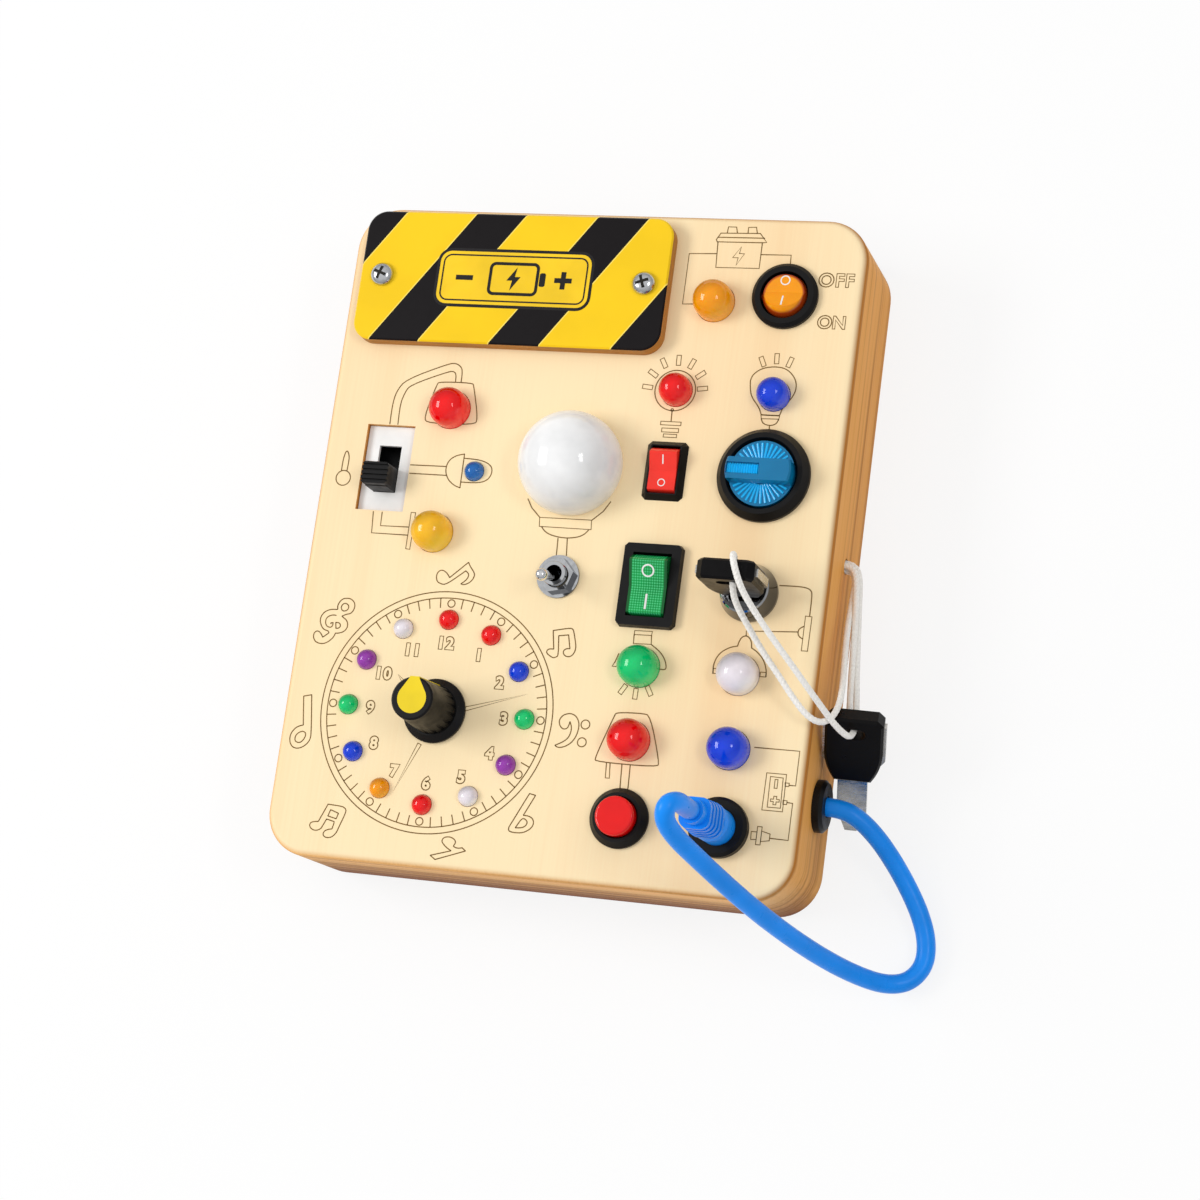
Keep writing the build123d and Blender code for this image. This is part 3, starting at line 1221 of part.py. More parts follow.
LEAD_ROUTE = [
    (lead_x, GLAND_Y, SIDE_Z),
    (74.6, GLAND_Y, SIDE_Z),
    (80.8, -60.2, 14.5),
    (85.9, -64.4, 11.4),
    (88.8, -71.4, 7.6),
    (91.8, -78.7, 4.6),
    (95.4, -84.8, 2.7),
    (95.2, -92.3, 2.4),
    (90.8, -98.3, 3.5),
    (84.7, -100.5, 7.1),
    (78.0, -97.6, 13.5),
    (71.2, -92.7, 24.2),
    (63.4, -88.4, 36.8),
    (56.6, -84.4, 48.4),
    (51.4, -81.4, 58.2),
    (48.6, -80.1, 65.0),
    (47.1, -79.0, 70.4),
    (46.6, -75.4, 73.2),
    (47.0, -71.1, 73.0),
    (47.7, -68.1, 70.4),
    (48.2, -67.3, 66.6),
    (COLUMN_B, BOTTOM_ROW, boot_top + 3.8),
    (COLUMN_B, BOTTOM_ROW, boot_top),
]

STRING_ROUTE = [
    (66.5, 0.1, 15.5),
    (69.4, 0.1, 15.5),
    (71.3, -2.2, 15.7),
    (70.6, -7.2, 16.2),
    (70.4, -14.0, 17.6),
    (70.8, -21.6, 20.3),
    (71.4, -28.4, 24.8),
    (72.0, -34.5, 29.9),
    (71.0, -38.9, 33.6),
    (68.2, -40.2, 36.3),
    (65.0, -38.6, 38.4),
    (61.4, -33.2, 40.3),
    (57.0, -27.0, 43.4),
    (52.8, -21.2, 47.2),
    (50.3, -17.6, 50.3),
    (49.7, -14.0, 52.3),
    (49.7, -7.3, 53.2),
    (49.9, -6.5, 57.8),
    (50.3, -10.6, 60.4),
    (51.2, -15.2, 58.0),
    (53.8, -18.6, 54.6),
    (57.6, -23.0, 50.4),
    (62.0, -27.6, 46.2),
    (66.4, -32.6, 42.0),
    (70.4, -38.0, 37.0),
    (73.6, -42.7, 32.6),
    (76.8, -44.2, 27.5),
    (75.6, -36.3, 20.15),
    (74.2, -28.0, 18.2),
    (73.4, -19.4, 17.0),
    (72.4, -10.4, 16.2),
    (72.4, -2.2, 15.6),
    (69.4, 1.9, 15.5),
    (66.5, 1.9, 15.5),
]

STRING_TIE_ROUTE = [
    (66.5, 1.0, 17.0),
    (69.2, 1.0, 17.0),
    (71.3, -1.0, 17.3),
    (71.3, -6.2, 17.5),
    (71.7, -13.0, 17.3),
    (72.0, -20.6, 17.8),
    (72.8, -29.1, 19.4),
    (74.1, -37.1, 22.1),
]


def bend_radii(route):
    """Largest tangent arc that each corner's two runs leave room for."""
    points = [Vector(*point) for point in route]
    radii = []
    for before, corner, after in zip(points, points[1:], points[2:]):
        turn = (corner - before).get_angle(after - corner)
        shorter = min((corner - before).length, (after - corner).length)
        radii.append(0.45 * shorter / tan(radians(turn) / 2))
    return radii


def make_tube(route, diameter):
    """Round cord along straight runs joined by tangent arcs."""
    radii = bend_radii(route)
    with BuildPart() as tube:
        with BuildLine() as path:
            FilletPolyline(*route, radius=radii)
        with BuildSketch(Plane(origin=path.line @ 0, z_dir=path.line % 0)):
            Circle(diameter / 2)
        sweep()
    length = sum(edge.length for edge in path.edges())
    section = pi * diameter**2 / 4
    print(f"cord of {length:.1f} mm, radii", [round(r, 1) for r in radii])
    print(f"  volume {tube.part.volume:.1f}, section times length {section * length:.1f}")
    return tube.part


keep(make_tube(LEAD_ROUTE, LEAD_D), "plug_lead")

string_parts = [make_tube(STRING_ROUTE, STRING_D), make_tube(STRING_TIE_ROUTE, STRING_D)]
with BuildPart() as key_string:
    add(string_parts)
keep(key_string.part, "key_string")
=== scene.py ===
"""Looks of the wooden busy board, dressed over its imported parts: wood, engraving, switches, cords, stage."""

import json
from math import cos, pi, radians, sin, tan

import bpy
from mathutils import Matrix, Vector


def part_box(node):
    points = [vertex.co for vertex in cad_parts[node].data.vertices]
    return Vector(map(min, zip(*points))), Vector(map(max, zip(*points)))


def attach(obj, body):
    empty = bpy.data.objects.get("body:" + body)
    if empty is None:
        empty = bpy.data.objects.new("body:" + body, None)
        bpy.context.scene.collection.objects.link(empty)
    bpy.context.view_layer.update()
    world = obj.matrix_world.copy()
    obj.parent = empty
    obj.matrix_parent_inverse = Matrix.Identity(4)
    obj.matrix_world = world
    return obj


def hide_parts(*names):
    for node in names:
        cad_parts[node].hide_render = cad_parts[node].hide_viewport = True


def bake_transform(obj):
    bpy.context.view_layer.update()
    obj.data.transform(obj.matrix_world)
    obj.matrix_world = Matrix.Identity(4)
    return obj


bl_info = {
    "name": "Wooden Busy Board",
    "version": (1, 0, 0),
    "blender": (4, 5, 0),
    "location": "View3D > Sidebar > Busy Board",
    "description": "Dresses the busy board's parts in wood, plastic, metal and cord",
    "category": "Object",
}

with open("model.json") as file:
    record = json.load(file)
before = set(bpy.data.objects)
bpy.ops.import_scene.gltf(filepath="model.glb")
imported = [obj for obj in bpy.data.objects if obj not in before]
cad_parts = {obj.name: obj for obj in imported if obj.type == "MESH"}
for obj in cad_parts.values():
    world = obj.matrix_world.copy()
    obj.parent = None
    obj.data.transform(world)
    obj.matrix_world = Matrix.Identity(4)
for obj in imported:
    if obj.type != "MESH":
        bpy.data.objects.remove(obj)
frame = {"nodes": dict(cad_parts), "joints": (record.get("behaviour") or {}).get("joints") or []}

MM = 0.001
FACE_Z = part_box("board_body")[1].z
PLATE_TOP_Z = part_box("cover_plate")[1].z
# How far print stands off what it lies on
PRINT_LIFT = 0.00003


def centre_of(node):
    """Middle of a part's box, as a point."""
    low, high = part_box(node)
    return (low + high) / 2


CLOCK = centre_of("clock_knob_body")
TURN_KNOB = centre_of("turn_switch_knob")
TOGGLE = centre_of("toggle_nut_and_washer")
LOCK = centre_of("lock_body")
PLATE = centre_of("cover_plate")

# ---------------------------------------------------------------- engraving, in millimetres on the face

CLOSED_STRAIGHT = [
    # battery: lid and bolt
    [(28.6, 78.4), (29.6, 80.1), (39.7, 80.3), (41.6, 78.0), (40.6, 77.9), (28.9, 77.8)],
    [(35.3, 76.7), (33.4, 73.8), (34.8, 73.8), (34.5, 71.8), (36.3, 74.9), (35.0, 74.9)],
    # screw base of the red bulb
    [(20.6, 30.9), (25.8, 30.9), (25.8, 30.0), (20.6, 30.0)],
    [(21.1, 29.2), (25.4, 29.2), (25.4, 28.2), (21.1, 28.2)],
    [(21.7, 27.7), (25.1, 27.7), (25.1, 26.9), (21.7, 26.9)],
    # screw base of the blue bulb
    [(45.7, 33.7), (50.4, 33.7), (50.3, 32.9), (45.9, 32.8)],
    # wall lamp's plate
    [(-41.3, 3.9), (-40.1, 3.9), (-40.2, -5.6), (-41.3, -5.5)],
    # foot of the globe
    [(-7.2, 4.7), (6.3, 4.8), (6.5, 2.4), (-7.0, 2.4)],
    # green shade's neck
    [(21.1, -22.0), (25.6, -21.9), (25.5, -22.9), (21.1, -23.0)],
    # bell's feet
    [(41.9, -29.8), (42.9, -29.8), (42.9, -31.0), (41.9, -31.0)],
    [(53.6, -29.8), (55.0, -29.8), (55.0, -30.9), (53.6, -30.9)],
    # bell push
    [(62.9, -15.4), (64.5, -15.5), (64.4, -23.9), (62.9, -23.9)],
    # cell of the plug circuit, its signs and terminals
    [(58.2, -53.8), (63.0, -53.8), (63.1, -62.7), (58.1, -62.7)],
    [(59.2, -54.6), (62.3, -54.7), (62.5, -61.9), (59.3, -61.9)],
    [(60.4, -55.2), (61.1, -55.2), (61.1, -57.3), (60.4, -57.3)],
    [(62.9, -55.8), (63.9, -55.8), (63.9, -56.6), (63.0, -56.6)],
    [(62.9, -60.0), (63.9, -60.0), (63.9, -60.9), (63.0, -60.9)],
    [
        (60.6, -59.2), (61.3, -59.2), (61.3, -59.9), (62.0, -59.9), (62.0, -60.5), (61.3, -60.5),
        (61.3, -61.2), (60.6, -61.2), (60.6, -60.5), (59.9, -60.5), (59.9, -59.9), (60.6, -59.9),
    ],
    # plug sign
    [(57.6, -66.7), (58.7, -66.7), (58.7, -71.0), (57.6, -71.0)],
    [(57.6, -68.0), (56.2, -68.0), (56.3, -69.9), (57.6, -69.8)],
    [(58.7, -67.7), (60.8, -68.2), (60.8, -69.8), (58.7, -70.2)],
]

OPEN_STRAIGHT = [
    # battery: box, lid line, terminals and wires
    [(29.1, 77.9), (29.4, 71.1), (40.5, 71.2), (40.5, 77.9)],
    [(28.9, 79.0), (41.0, 79.1)],
    [(31.2, 80.2), (31.3, 81.8), (33.4, 81.8), (33.8, 80.2)],
    [(36.5, 80.2), (36.5, 81.8), (38.5, 81.9), (38.9, 80.3)],
    [(29.2, 74.7), (22.1, 74.5), (22.1, 61.3), (24.9, 61.4)],
    [(40.5, 74.8), (48.2, 74.9), (48.3, 72.3)],
    # red bulb's stem
    [(23.1, 33.6), (23.2, 30.9)],
    # blue bulb's stem
    [(48.2, 31.1), (48.2, 30.2)],
    # torch handle
    [(-43.5, 16.2), (-33.8, 16.3)],
    [(-43.4, 14.0), (-33.4, 14.0)],
    # wall lamp's arm
    [(-51.5, 3.6), (-51.1, -2.0), (-41.3, -2.0)],
    [(-49.1, 3.6), (-49.0, 0.0), (-41.3, 0.1)],
    # globe's neck and stem
    [(-11.0, 9.3), (-9.6, 7.0), (-7.2, 4.7)],
    [(10.6, 9.8), (9.0, 7.2), (6.4, 4.8)],
    [(-1.7, -0.2), (-1.5, -4.8)],
    [(0.7, -0.2), (1.1, -4.6)],
    # green shade
    [(21.1, -23.0), (21.2, -25.2), (25.7, -25.1), (25.5, -22.9)],
    [(17.9, -27.9), (17.2, -30.1), (16.6, -31.2), (18.2, -31.2)],
    # red shade's pendant and stem
    [(18.5, -54.8), (18.7, -58.5), (19.7, -58.5), (19.4, -54.8)],
    [(22.4, -54.8), (22.7, -60.9)],
    [(24.5, -54.8), (24.7, -60.8)],
    # bell and lock wires
    [(49.0, -21.3), (48.9, -20.1), (61.6, -19.4)],
    # wires of the plug circuit
    [(54.4, -48.0), (65.5, -48.0), (65.5, -56.3), (63.9, -56.3)],
    [(63.9, -60.4), (65.3, -60.5), (65.3, -69.3), (60.8, -69.2)],
]

CLOSED_CURVED = [
    # blue bulb
    [
        (42.1, 40.4), (41.9, 43.4), (44.2, 45.5), (47.4, 46.2), (50.7, 45.8), (53.1, 43.5), (53.8, 41.0),
        (53.0, 38.4), (51.0, 36.1), (50.4, 33.9), (50.2, 33.8), (45.9, 33.8),
        (45.7, 33.9), (45.0, 35.6), (42.8, 38.1),
    ],
    # desk lamp's shade
    [
        (-39.0, 38.3), (-30.1, 38.4), (-29.6, 37.6), (-27.2, 28.9), (-28.1, 27.5), (-40.4, 27.3),
        (-41.8, 28.6), (-39.6, 37.6),
    ],
    # torch: dome and head
    [
        (-29.4, 19.8), (-29.4, 19.8), (-31.8, 19.2), (-33.5, 17.7), (-33.9, 15.2), (-32.8, 12.9),
        (-30.9, 11.5), (-29.3, 11.0), (-29.3, 11.0),
    ],
    # red shade
    [
        (19.3, -42.4), (25.7, -42.1), (27.9, -42.5), (31.6, -53.6), (31.2, -54.8), (15.8, -54.8),
        (15.4, -53.9), (18.9, -43.2),
    ],
    # quaver over the dial; a point given twice keeps its corner
    [
        (-28.5, -12.1), (-28.5, -12.1), (-29.3, -11.0), (-30.7, -10.2), (-31.8, -10.8), (-32.1, -12.1),
        (-31.6, -13.4), (-30.3, -13.9), (-29.5, -13.9), (-28.1, -13.1), (-24.5, -10.1), (-24.5, -10.1),
        (-23.6, -10.8), (-23.6, -11.6), (-24.1, -12.5), (-25.3, -13.5), (-25.3, -13.5), (-24.4, -13.7),
        (-23.0, -13.0), (-22.2, -11.9), (-22.0, -10.8), (-22.7, -9.8), (-23.5, -8.9), (-24.1, -7.9),
        (-24.1, -7.9),
    ],
    # treble clef and its eyes
    [
        (-57.0, -22.2), (-57.0, -22.2), (-57.2, -21.2), (-56.7, -20.1), (-56.0, -19.4), (-55.0, -19.2),
        (-53.8, -19.3), (-52.8, -20.1), (-52.5, -21.1), (-52.7, -22.2), (-53.4, -23.1), (-54.5, -23.3),
        (-55.6, -23.9), (-55.6, -23.9), (-55.0, -24.3), (-54.3, -24.7), (-53.7, -25.6), (-53.7, -26.9),
        (-54.6, -27.9), (-55.9, -28.3), (-56.6, -28.3), (-56.6, -28.3), (-57.0, -29.4), (-57.9, -30.4),
        (-59.0, -31.1), (-60.1, -31.3), (-61.5, -31.0), (-62.3, -30.1), (-62.5, -29.0), (-62.0, -28.2),
        (-61.3, -28.1), (-60.7, -28.5), (-60.2, -29.1), (-59.9, -29.6), (-59.9, -29.6), (-58.4, -28.4),
        (-58.4, -28.4), (-58.6, -27.9), (-59.7, -27.7), (-60.5, -27.1), (-61.2, -25.8), (-61.3, -24.6),
        (-60.7, -23.4), (-59.8, -22.7), (-58.6, -22.3), (-57.4, -22.3),
    ],
    [
        (-56.2, -21.5), (-55.8, -20.7), (-55.0, -20.5), (-54.2, -21.0), (-54.1, -21.8), (-54.6, -22.4),
        (-55.5, -22.6), (-56.0, -22.1),
    ],
    [
        (-57.0, -25.6), (-57.0, -25.6), (-56.0, -25.6), (-55.5, -26.3), (-55.9, -27.0), (-56.7, -27.1),
        (-56.7, -27.1),
    ],
    # beamed quavers
    [
        (0.4, -23.5), (0.4, -23.5), (4.5, -22.6), (5.3, -22.7), (5.7, -23.3), (6.7, -26.6), (6.8, -27.8),
        (6.4, -29.0), (5.6, -29.7), (4.6, -29.7), (3.9, -29.2), (3.7, -28.5), (4.0, -28.0), (4.6, -27.7),
        (5.3, -27.7), (5.3, -27.7), (4.5, -24.3), (4.5, -24.3), (2.0, -24.7), (2.0, -24.7), (2.6, -29.6),
        (2.1, -30.0), (1.4, -30.3), (0.5, -29.9), (-0.5, -29.2), (-0.5, -28.5), (0.1, -28.1), (1.2, -28.1),
        (1.2, -28.1),
    ],
    # minim and its eye
    [
        (-62.5, -44.9), (-62.5, -44.9), (-60.4, -44.4), (-60.4, -44.4), (-58.9, -54.2), (-59.0, -55.8),
        (-59.8, -57.0), (-61.0, -57.9), (-62.3, -58.2), (-63.4, -57.9), (-64.2, -57.0), (-64.5, -55.6),
        (-64.3, -54.4), (-63.5, -53.2), (-62.5, -52.5), (-61.4, -52.2), (-61.4, -52.2),
    ],
    [
        (-62.2, -56.7), (-63.0, -56.3), (-63.1, -55.2), (-62.5, -54.3), (-61.4, -53.7), (-60.5, -54.0),
        (-60.3, -54.8), (-60.7, -55.8), (-61.4, -56.6),
    ],
    # bass clef
    [
        (7.9, -45.6), (7.9, -45.6), (7.7, -46.8), (7.3, -47.4), (6.5, -47.6), (5.7, -47.1), (5.2, -46.2),
        (5.2, -45.2), (5.9, -44.2), (6.8, -43.8), (7.7, -43.6), (8.9, -43.9), (9.8, -44.8), (10.3, -46.0),
        (10.3, -47.5), (10.0, -48.9), (9.3, -50.3), (8.3, -51.3), (7.0, -52.0), (5.7, -52.2), (4.9, -51.7),
        (4.9, -51.7), (5.9, -51.2), (7.1, -50.5), (8.1, -49.5), (8.5, -48.1), (8.5, -46.9),
    ],
    # flat sign and its eye
    [
        (0.2, -64.0), (0.2, -64.0), (1.8, -64.3), (1.8, -64.3), (-0.6, -69.4), (-0.6, -69.4), (0.5, -69.4),
        (1.7, -69.8), (2.3, -70.8), (2.1, -71.9), (1.2, -72.9), (-0.1, -73.6), (-1.7, -73.8), (-3.3, -73.7),
        (-3.9, -73.3), (-3.8, -72.5), (-3.8, -72.5),
    ],
    [
        (-2.2, -72.6), (-2.2, -72.6), (-0.9, -70.2), (-0.1, -70.2), (0.6, -70.8), (0.6, -71.5), (-0.0, -72.2),
        (-0.9, -72.5),
    ],
    # crotchet under the dial
    [
        (-17.7, -79.7), (-17.7, -79.7), (-18.9, -79.1), (-19.9, -78.3), (-20.5, -77.6), (-20.2, -76.8),
        (-19.4, -76.4), (-18.2, -76.4), (-17.2, -76.9), (-16.8, -77.6), (-17.2, -78.3), (-17.3, -78.6),
        (-16.4, -78.9), (-15.8, -78.9), (-15.0, -78.7), (-15.0, -78.7), (-14.0, -79.4), (-14.0, -79.4),
        (-21.5, -82.2), (-21.5, -82.2), (-22.9, -81.3), (-22.9, -81.3),
    ],
    # beamed semiquavers and their eye
    [
        (-51.5, -71.3), (-51.5, -71.3), (-47.7, -71.5), (-46.8, -71.9), (-46.4, -72.7), (-47.7, -76.5),
        (-48.2, -78.2), (-49.2, -79.3), (-50.5, -79.6), (-51.4, -79.3), (-51.7, -78.6), (-51.3, -77.9),
        (-50.5, -77.5), (-49.5, -77.3), (-49.5, -77.3), (-49.1, -75.5), (-49.4, -75.4), (-51.3, -75.0),
        (-51.3, -75.0), (-52.1, -76.8), (-52.5, -77.6), (-53.6, -78.1), (-54.8, -77.9), (-55.6, -77.1),
        (-55.4, -76.2), (-54.4, -75.9), (-53.4, -75.8), (-53.4, -75.8),
    ],
    [
        (-50.6, -72.6), (-50.6, -72.6), (-48.4, -73.3), (-48.4, -73.3), (-48.8, -74.7), (-48.8, -74.7),
        (-51.1, -74.2), (-51.1, -74.2),
    ],
]

OPEN_CURVED = [
    # treble clef's curl
    [
        (-57.1, -23.8), (-58.1, -23.7), (-59.3, -24.2), (-59.8, -25.0), (-59.7, -26.1), (-59.1, -26.8),
        (-58.3, -27.0), (-57.7, -26.6), (-57.7, -25.7), (-57.7, -25.7), (-58.3, -25.8), (-58.3, -25.8),
        (-58.2, -26.1),
    ],
    # blue bulb's tip
    [(45.9, 32.8), (46.4, 31.6), (48.2, 31.1), (49.8, 31.6), (50.3, 32.9)],
    # desk lamp's arm
    [
        (-50.7, 26.5), (-50.8, 31.9), (-50.2, 35.4), (-48.1, 38.5), (-37.4, 43.1), (-35.3, 43.4),
        (-33.6, 42.4), (-33.2, 40.7), (-33.2, 38.4),
    ],
    [
        (-48.5, 26.5), (-48.7, 32.0), (-47.9, 35.1), (-46.7, 37.1), (-37.0, 41.1), (-35.4, 41.2),
        (-34.8, 40.3), (-34.7, 38.5),
    ],
    # torch's glass
    [
        (-29.35, 18.7), (-24.8, 18.5), (-22.1, 17.4), (-21.3, 15.8), (-22.0, 13.6), (-24.3, 12.5),
        (-29.35, 12.5),
    ],
    # globe's cap
    [(-6.4, 2.4), (-5.4, 1.2), (-3.5, 0.3), (-0.1, -0.2), (3.2, 0.2), (5.0, 1.1), (6.0, 2.4)],
    # slide switch sign
    [(-60.4, 13.7), (-60.2, 17.4), (-61.3, 19.4), (-61.9, 16.9), (-61.9, 13.7)],
    # green shade
    [(25.7, -25.1), (28.3, -26.8), (29.8, -28.8), (30.4, -31.1), (28.6, -31.0)],
    # bell
    [
        (42.0, -31.0), (42.0, -31.0), (41.8, -28.6), (42.9, -26.0), (45.2, -24.4), (47.2, -23.9),
        (47.2, -23.9), (47.4, -22.9), (47.9, -21.7), (48.9, -21.2), (49.8, -21.6), (50.5, -22.6),
        (50.7, -24.1), (50.7, -24.1), (52.4, -25.1), (54.1, -26.9), (55.0, -29.2), (55.1, -30.9),
    ],
    # lock wire and the bell push's nose
    [(55.6, -8.4), (61.6, -8.3), (63.6, -9.0), (63.9, -10.6), (63.9, -15.4)],
    [(62.9, -17.9), (61.7, -18.6), (61.5, -19.7), (62.0, -20.6), (62.9, -21.0)],
]

# Middle and radius of engraved rings
RINGS = [
    ((23.2, 38.9), 5.2), ((23.1, 33.9), 0.3), ((-61.1, 11.8), 1.95),
    ((11.9, -46.0), 1.1), ((11.6, -50.4), 1.1),
]

# Rays round a lamp: its middle, then the middle of each small box
RAYS = [
    (
        (23.4, 38.8),
        [(16.0, 39.5), (17.0, 43.0), (19.4, 45.8), (23.1, 46.7), (26.6, 45.9), (29.2, 43.2), (30.1, 39.7)],
    ),
    ((48.4, 38.8), [(44.4, 47.3), (47.9, 48.2), (51.3, 47.4)]),
    ((23.5, -30.9), [(20.1, -36.6), (23.4, -37.5), (26.7, -36.5)]),
]

# Clock hands drawn as long thin wedges: foot and tip
HANDS = [((-19.7, -44.8), (-3.7, -39.7)), ((-29.9, -54.3), (-35.0, -66.7)), ((-36.2, -39.6), (-38.2, -37.5))]

# Length and width of a ray, and half the width of a hand at its foot
RAY_LENGTH, RAY_WIDTH, HAND_HALF_WIDTH = 2.6, 1.1, 0.5

# Words beside the power switch: text, middle, letter size, how far the outline stands off the letter, spacing
WORDS = [("OFF", (60.4, 68.8), 4.8, 0.12, 1.1), ("ON", (60.4, 58.0), 4.5, 0.12, 1.0)]

# Middle and radius of the ring of numbers on the dial, and how they are set, as for the words
NUMBERS = Vector((-26.7, -46.25))
NUMBER_RING = 17.6
NUMBER_SETTING = (4.0, 0.3, 1.2)

# ---------------------------------------------------------------- cord routes, in millimetres

LEAD_ROUTE = [
    (68.5, -58.305, 16.0), (73.4, -58.305, 16.0), (78.0, -60.4, 14.3), (82.2, -64.2, 11.2),
    (85.9, -69.0, 7.6), (89.3, -74.2, 4.9), (92.7, -80.2, 3.4), (95.0, -86.4, 2.8),
    (95.1, -92.4, 2.8), (91.8, -96.9, 3.6), (86.6, -98.2, 6.2), (80.6, -97.1, 11.8),
    (74.6, -94.9, 19.4), (68.6, -91.8, 28.6), (62.4, -87.8, 39.4), (56.6, -83.2, 50.2),
    (51.6, -78.9, 59.2), (47.8, -75.4, 66.4), (46.0, -72.4, 71.0), (46.6, -69.2, 73.0),
    (48.2, -67.7, 70.2), (48.465, -68.006, 64.5), (48.465, -68.006, 59.0),
]

# The string's loop in three stretches, which meet between the lock and the side
STRING_OUT_ROUTE = [
    (66.5, 0.1, 15.5), (69.2, 0.1, 15.5), (70.3, -2.4, 15.8), (70.3, -8.0, 17.2), (70.6, -15.9, 20.0),
    (71.5, -24.0, 22.8), (72.5, -30.6, 25.8), (72.9, -36.0, 29.0), (72.0, -39.8, 32.0), (69.9, -41.4, 34.6),
    (67.0, -40.0, 36.6), (63.9, -36.6, 38.2), (60.4, -32.0, 40.0), (57.0, -27.8, 42.2), (54.2, -23.8, 44.6),
    (51.8, -19.9, 47.6),
]
STRING_KEY_ROUTE = [
    (51.8, -19.9, 47.6), (50.3, -17.5, 49.5), (49.6, -13.8, 52.5), (49.6, -7.2, 52.9), (50.2, -7.0, 57.4),
    (51.2, -9.9, 59.4), (52.6, -13.9, 58.0), (54.2, -17.2, 55.2), (56.4, -20.2, 52.7),
]
STRING_BACK_ROUTE = [
    (66.5, 1.9, 15.5), (69.2, 1.9, 15.5), (71.2, -1.0, 15.6), (72.0, -9.4, 16.4), (73.0, -19.0, 17.3),
    (74.0, -28.0, 18.4), (75.4, -36.3, 20.2), (76.6, -43.4, 27.0), (73.8, -41.8, 31.4), (71.0, -38.4, 36.2),
    (68.0, -34.6, 41.0), (63.8, -29.4, 45.6), (59.0, -23.7, 49.8), (56.4, -20.2, 52.7),
]
STRING_TIE_ROUTE = [
    (66.5, 1.0, 17.0), (69.0, 1.0, 17.0), (70.8, -1.6, 17.6), (71.6, -8.0, 18.6), (72.2, -15.0, 18.9),
    (72.6, -22.6, 19.2), (73.2, -30.0, 20.4), (74.1, -37.1, 22.1),
]

# ---------------------------------------------------------------- colours and settings


def srgb(code):
    """Linear colour of a hex code as it is seen on a screen."""
    channels = [int(code[i : i + 2], 16) / 255 for i in (0, 2, 4)]
    return tuple(c / 12.92 if c <= 0.04045 else ((c + 0.055) / 1.055) ** 2.4 for c in channels) + (1.0,)


def colour(name, description, code):
    """Colour property whose default is a hex code."""
    return bpy.props.FloatVectorProperty(
        name=name, description=description, subtype="COLOR", size=4, min=0, max=1, default=srgb(code)
    )


def size(name, description, default):
    """Length property in metres."""
    return bpy.props.FloatProperty(
        name=name, description=description, unit="LENGTH", subtype="DISTANCE", precision=5, default=default
    )


def power(name, description, default):
    """Lamp power property in watts."""
    return bpy.props.FloatProperty(name=name, description=description, unit="POWER", default=default)


def factor(name, description, default):
    """Property without a unit, from 0 up to 1."""
    return bpy.props.FloatProperty(
        name=name, description=description, subtype="FACTOR", min=0, max=1, default=default
    )


class BusyBoardWoodSettings(bpy.types.PropertyGroup):
    """Colours of the wood and what is drawn on it."""

    face: colour("Face", "Pale early wood on the sanded face", "FFE8BC")
    band: colour("Face bands", "Late wood seen as soft bands on the face", "FBDBAC")
    edge: colour("Edge", "Wood on the long cut edges", "EAA858")
    edge_line: colour("Edge lines", "Late wood seen as lines on the edges", "B87836")
    end: colour("End grain", "Wood on the top and bottom ends", "FFC680")
    # Painted shade: the dark brown that the ends are painted down to towards the back
    end_low: colour("Low end grain", "Wood on the ends near the back, browned by the saw", "7C3A06")
    burn: colour("Burnt line", "Scorched wood in an engraved line", "86683A")
    layer: size("Ring spacing", "Distance between two growth rings", 0.0036)
    line_width: size("Line width", "Width of an engraved line", 0.00028)


class BusyBoardPrintSettings(bpy.types.PropertyGroup):
    """Colours and stripes of the battery cover's sheet."""

    yellow: colour("Yellow", "Yellow ink on the cover", "FFD21C")
    black: colour("Black", "Black ink on the cover", "120E10")
    edge: colour("Cut edge", "Bare edge of the cover", "BF7F2C")
    period: size("Stripe spacing", "Distance between two black stripes along the cover", 0.0324)
    width: size("Stripe width", "Width of a black stripe along the cover", 0.0133)


class BusyBoardPlasticSettings(bpy.types.PropertyGroup):
    """Colours of the lamps, buttons, knobs and mouldings."""

    red: colour("Red lamp", "Red tinted resin", "FA0208")
    amber: colour("Amber lamp", "Amber tinted resin", "FFA000")
    yellow: colour("Yellow lamp", "Yellow tinted resin", "FFC01C")
    blue: colour("Blue lamp", "Blue tinted resin", "0640E0")
    torch_blue: colour("Torch lamp", "Clear blue tinted resin", "1668B8")
    green: colour("Green lamp", "Green tinted resin", "06D074")
    purple: colour("Purple lamp", "Purple tinted resin", "9C3CB0")
    white: colour("White lamp", "Milky resin", "F4ECF2")
    globe: colour("Globe", "Opal white plastic", "FFFFFF")
    black: colour("Black plastic", "Moulded housings and knobs", "0A090A")
    push: colour("Red button", "Gloss red button plastic", "F60A0C")
    red_rocker: colour("Red rocker", "Tinted red plastic of the small rocker", "FF3426")
    knob: colour("Blue knob", "Tinted blue knob plastic", "0678AA")
    knob_bright: colour("Blue ribs", "Bright ribs of the blue knob", "1CC0FF")
    rocker: colour("Green button", "Tinted green button plastic", "00A048")
    rocker_bright: colour("Green dots", "Bright dots of the green button", "52E096")
    cap: colour("Yellow cap", "Cap and pointer of the clock knob", "F7D90F")


class BusyBoardCordSettings(bpy.types.PropertyGroup):
    """Sizes and colours of the lead and the string."""

    lead: colour("Lead", "Soft plastic of the lead and its plug", "0E92FF")
    string: colour("String", "White braided cotton", "FFFCF6")
    lead_diameter: size("Lead diameter", "Thickness of the lead", 0.0046)
    string_diameter: size("String diameter", "Thickness of the string", 0.0016)
    braid_pitch: size("Braid pitch", "Length in which a strand goes once round the string", 0.0042)


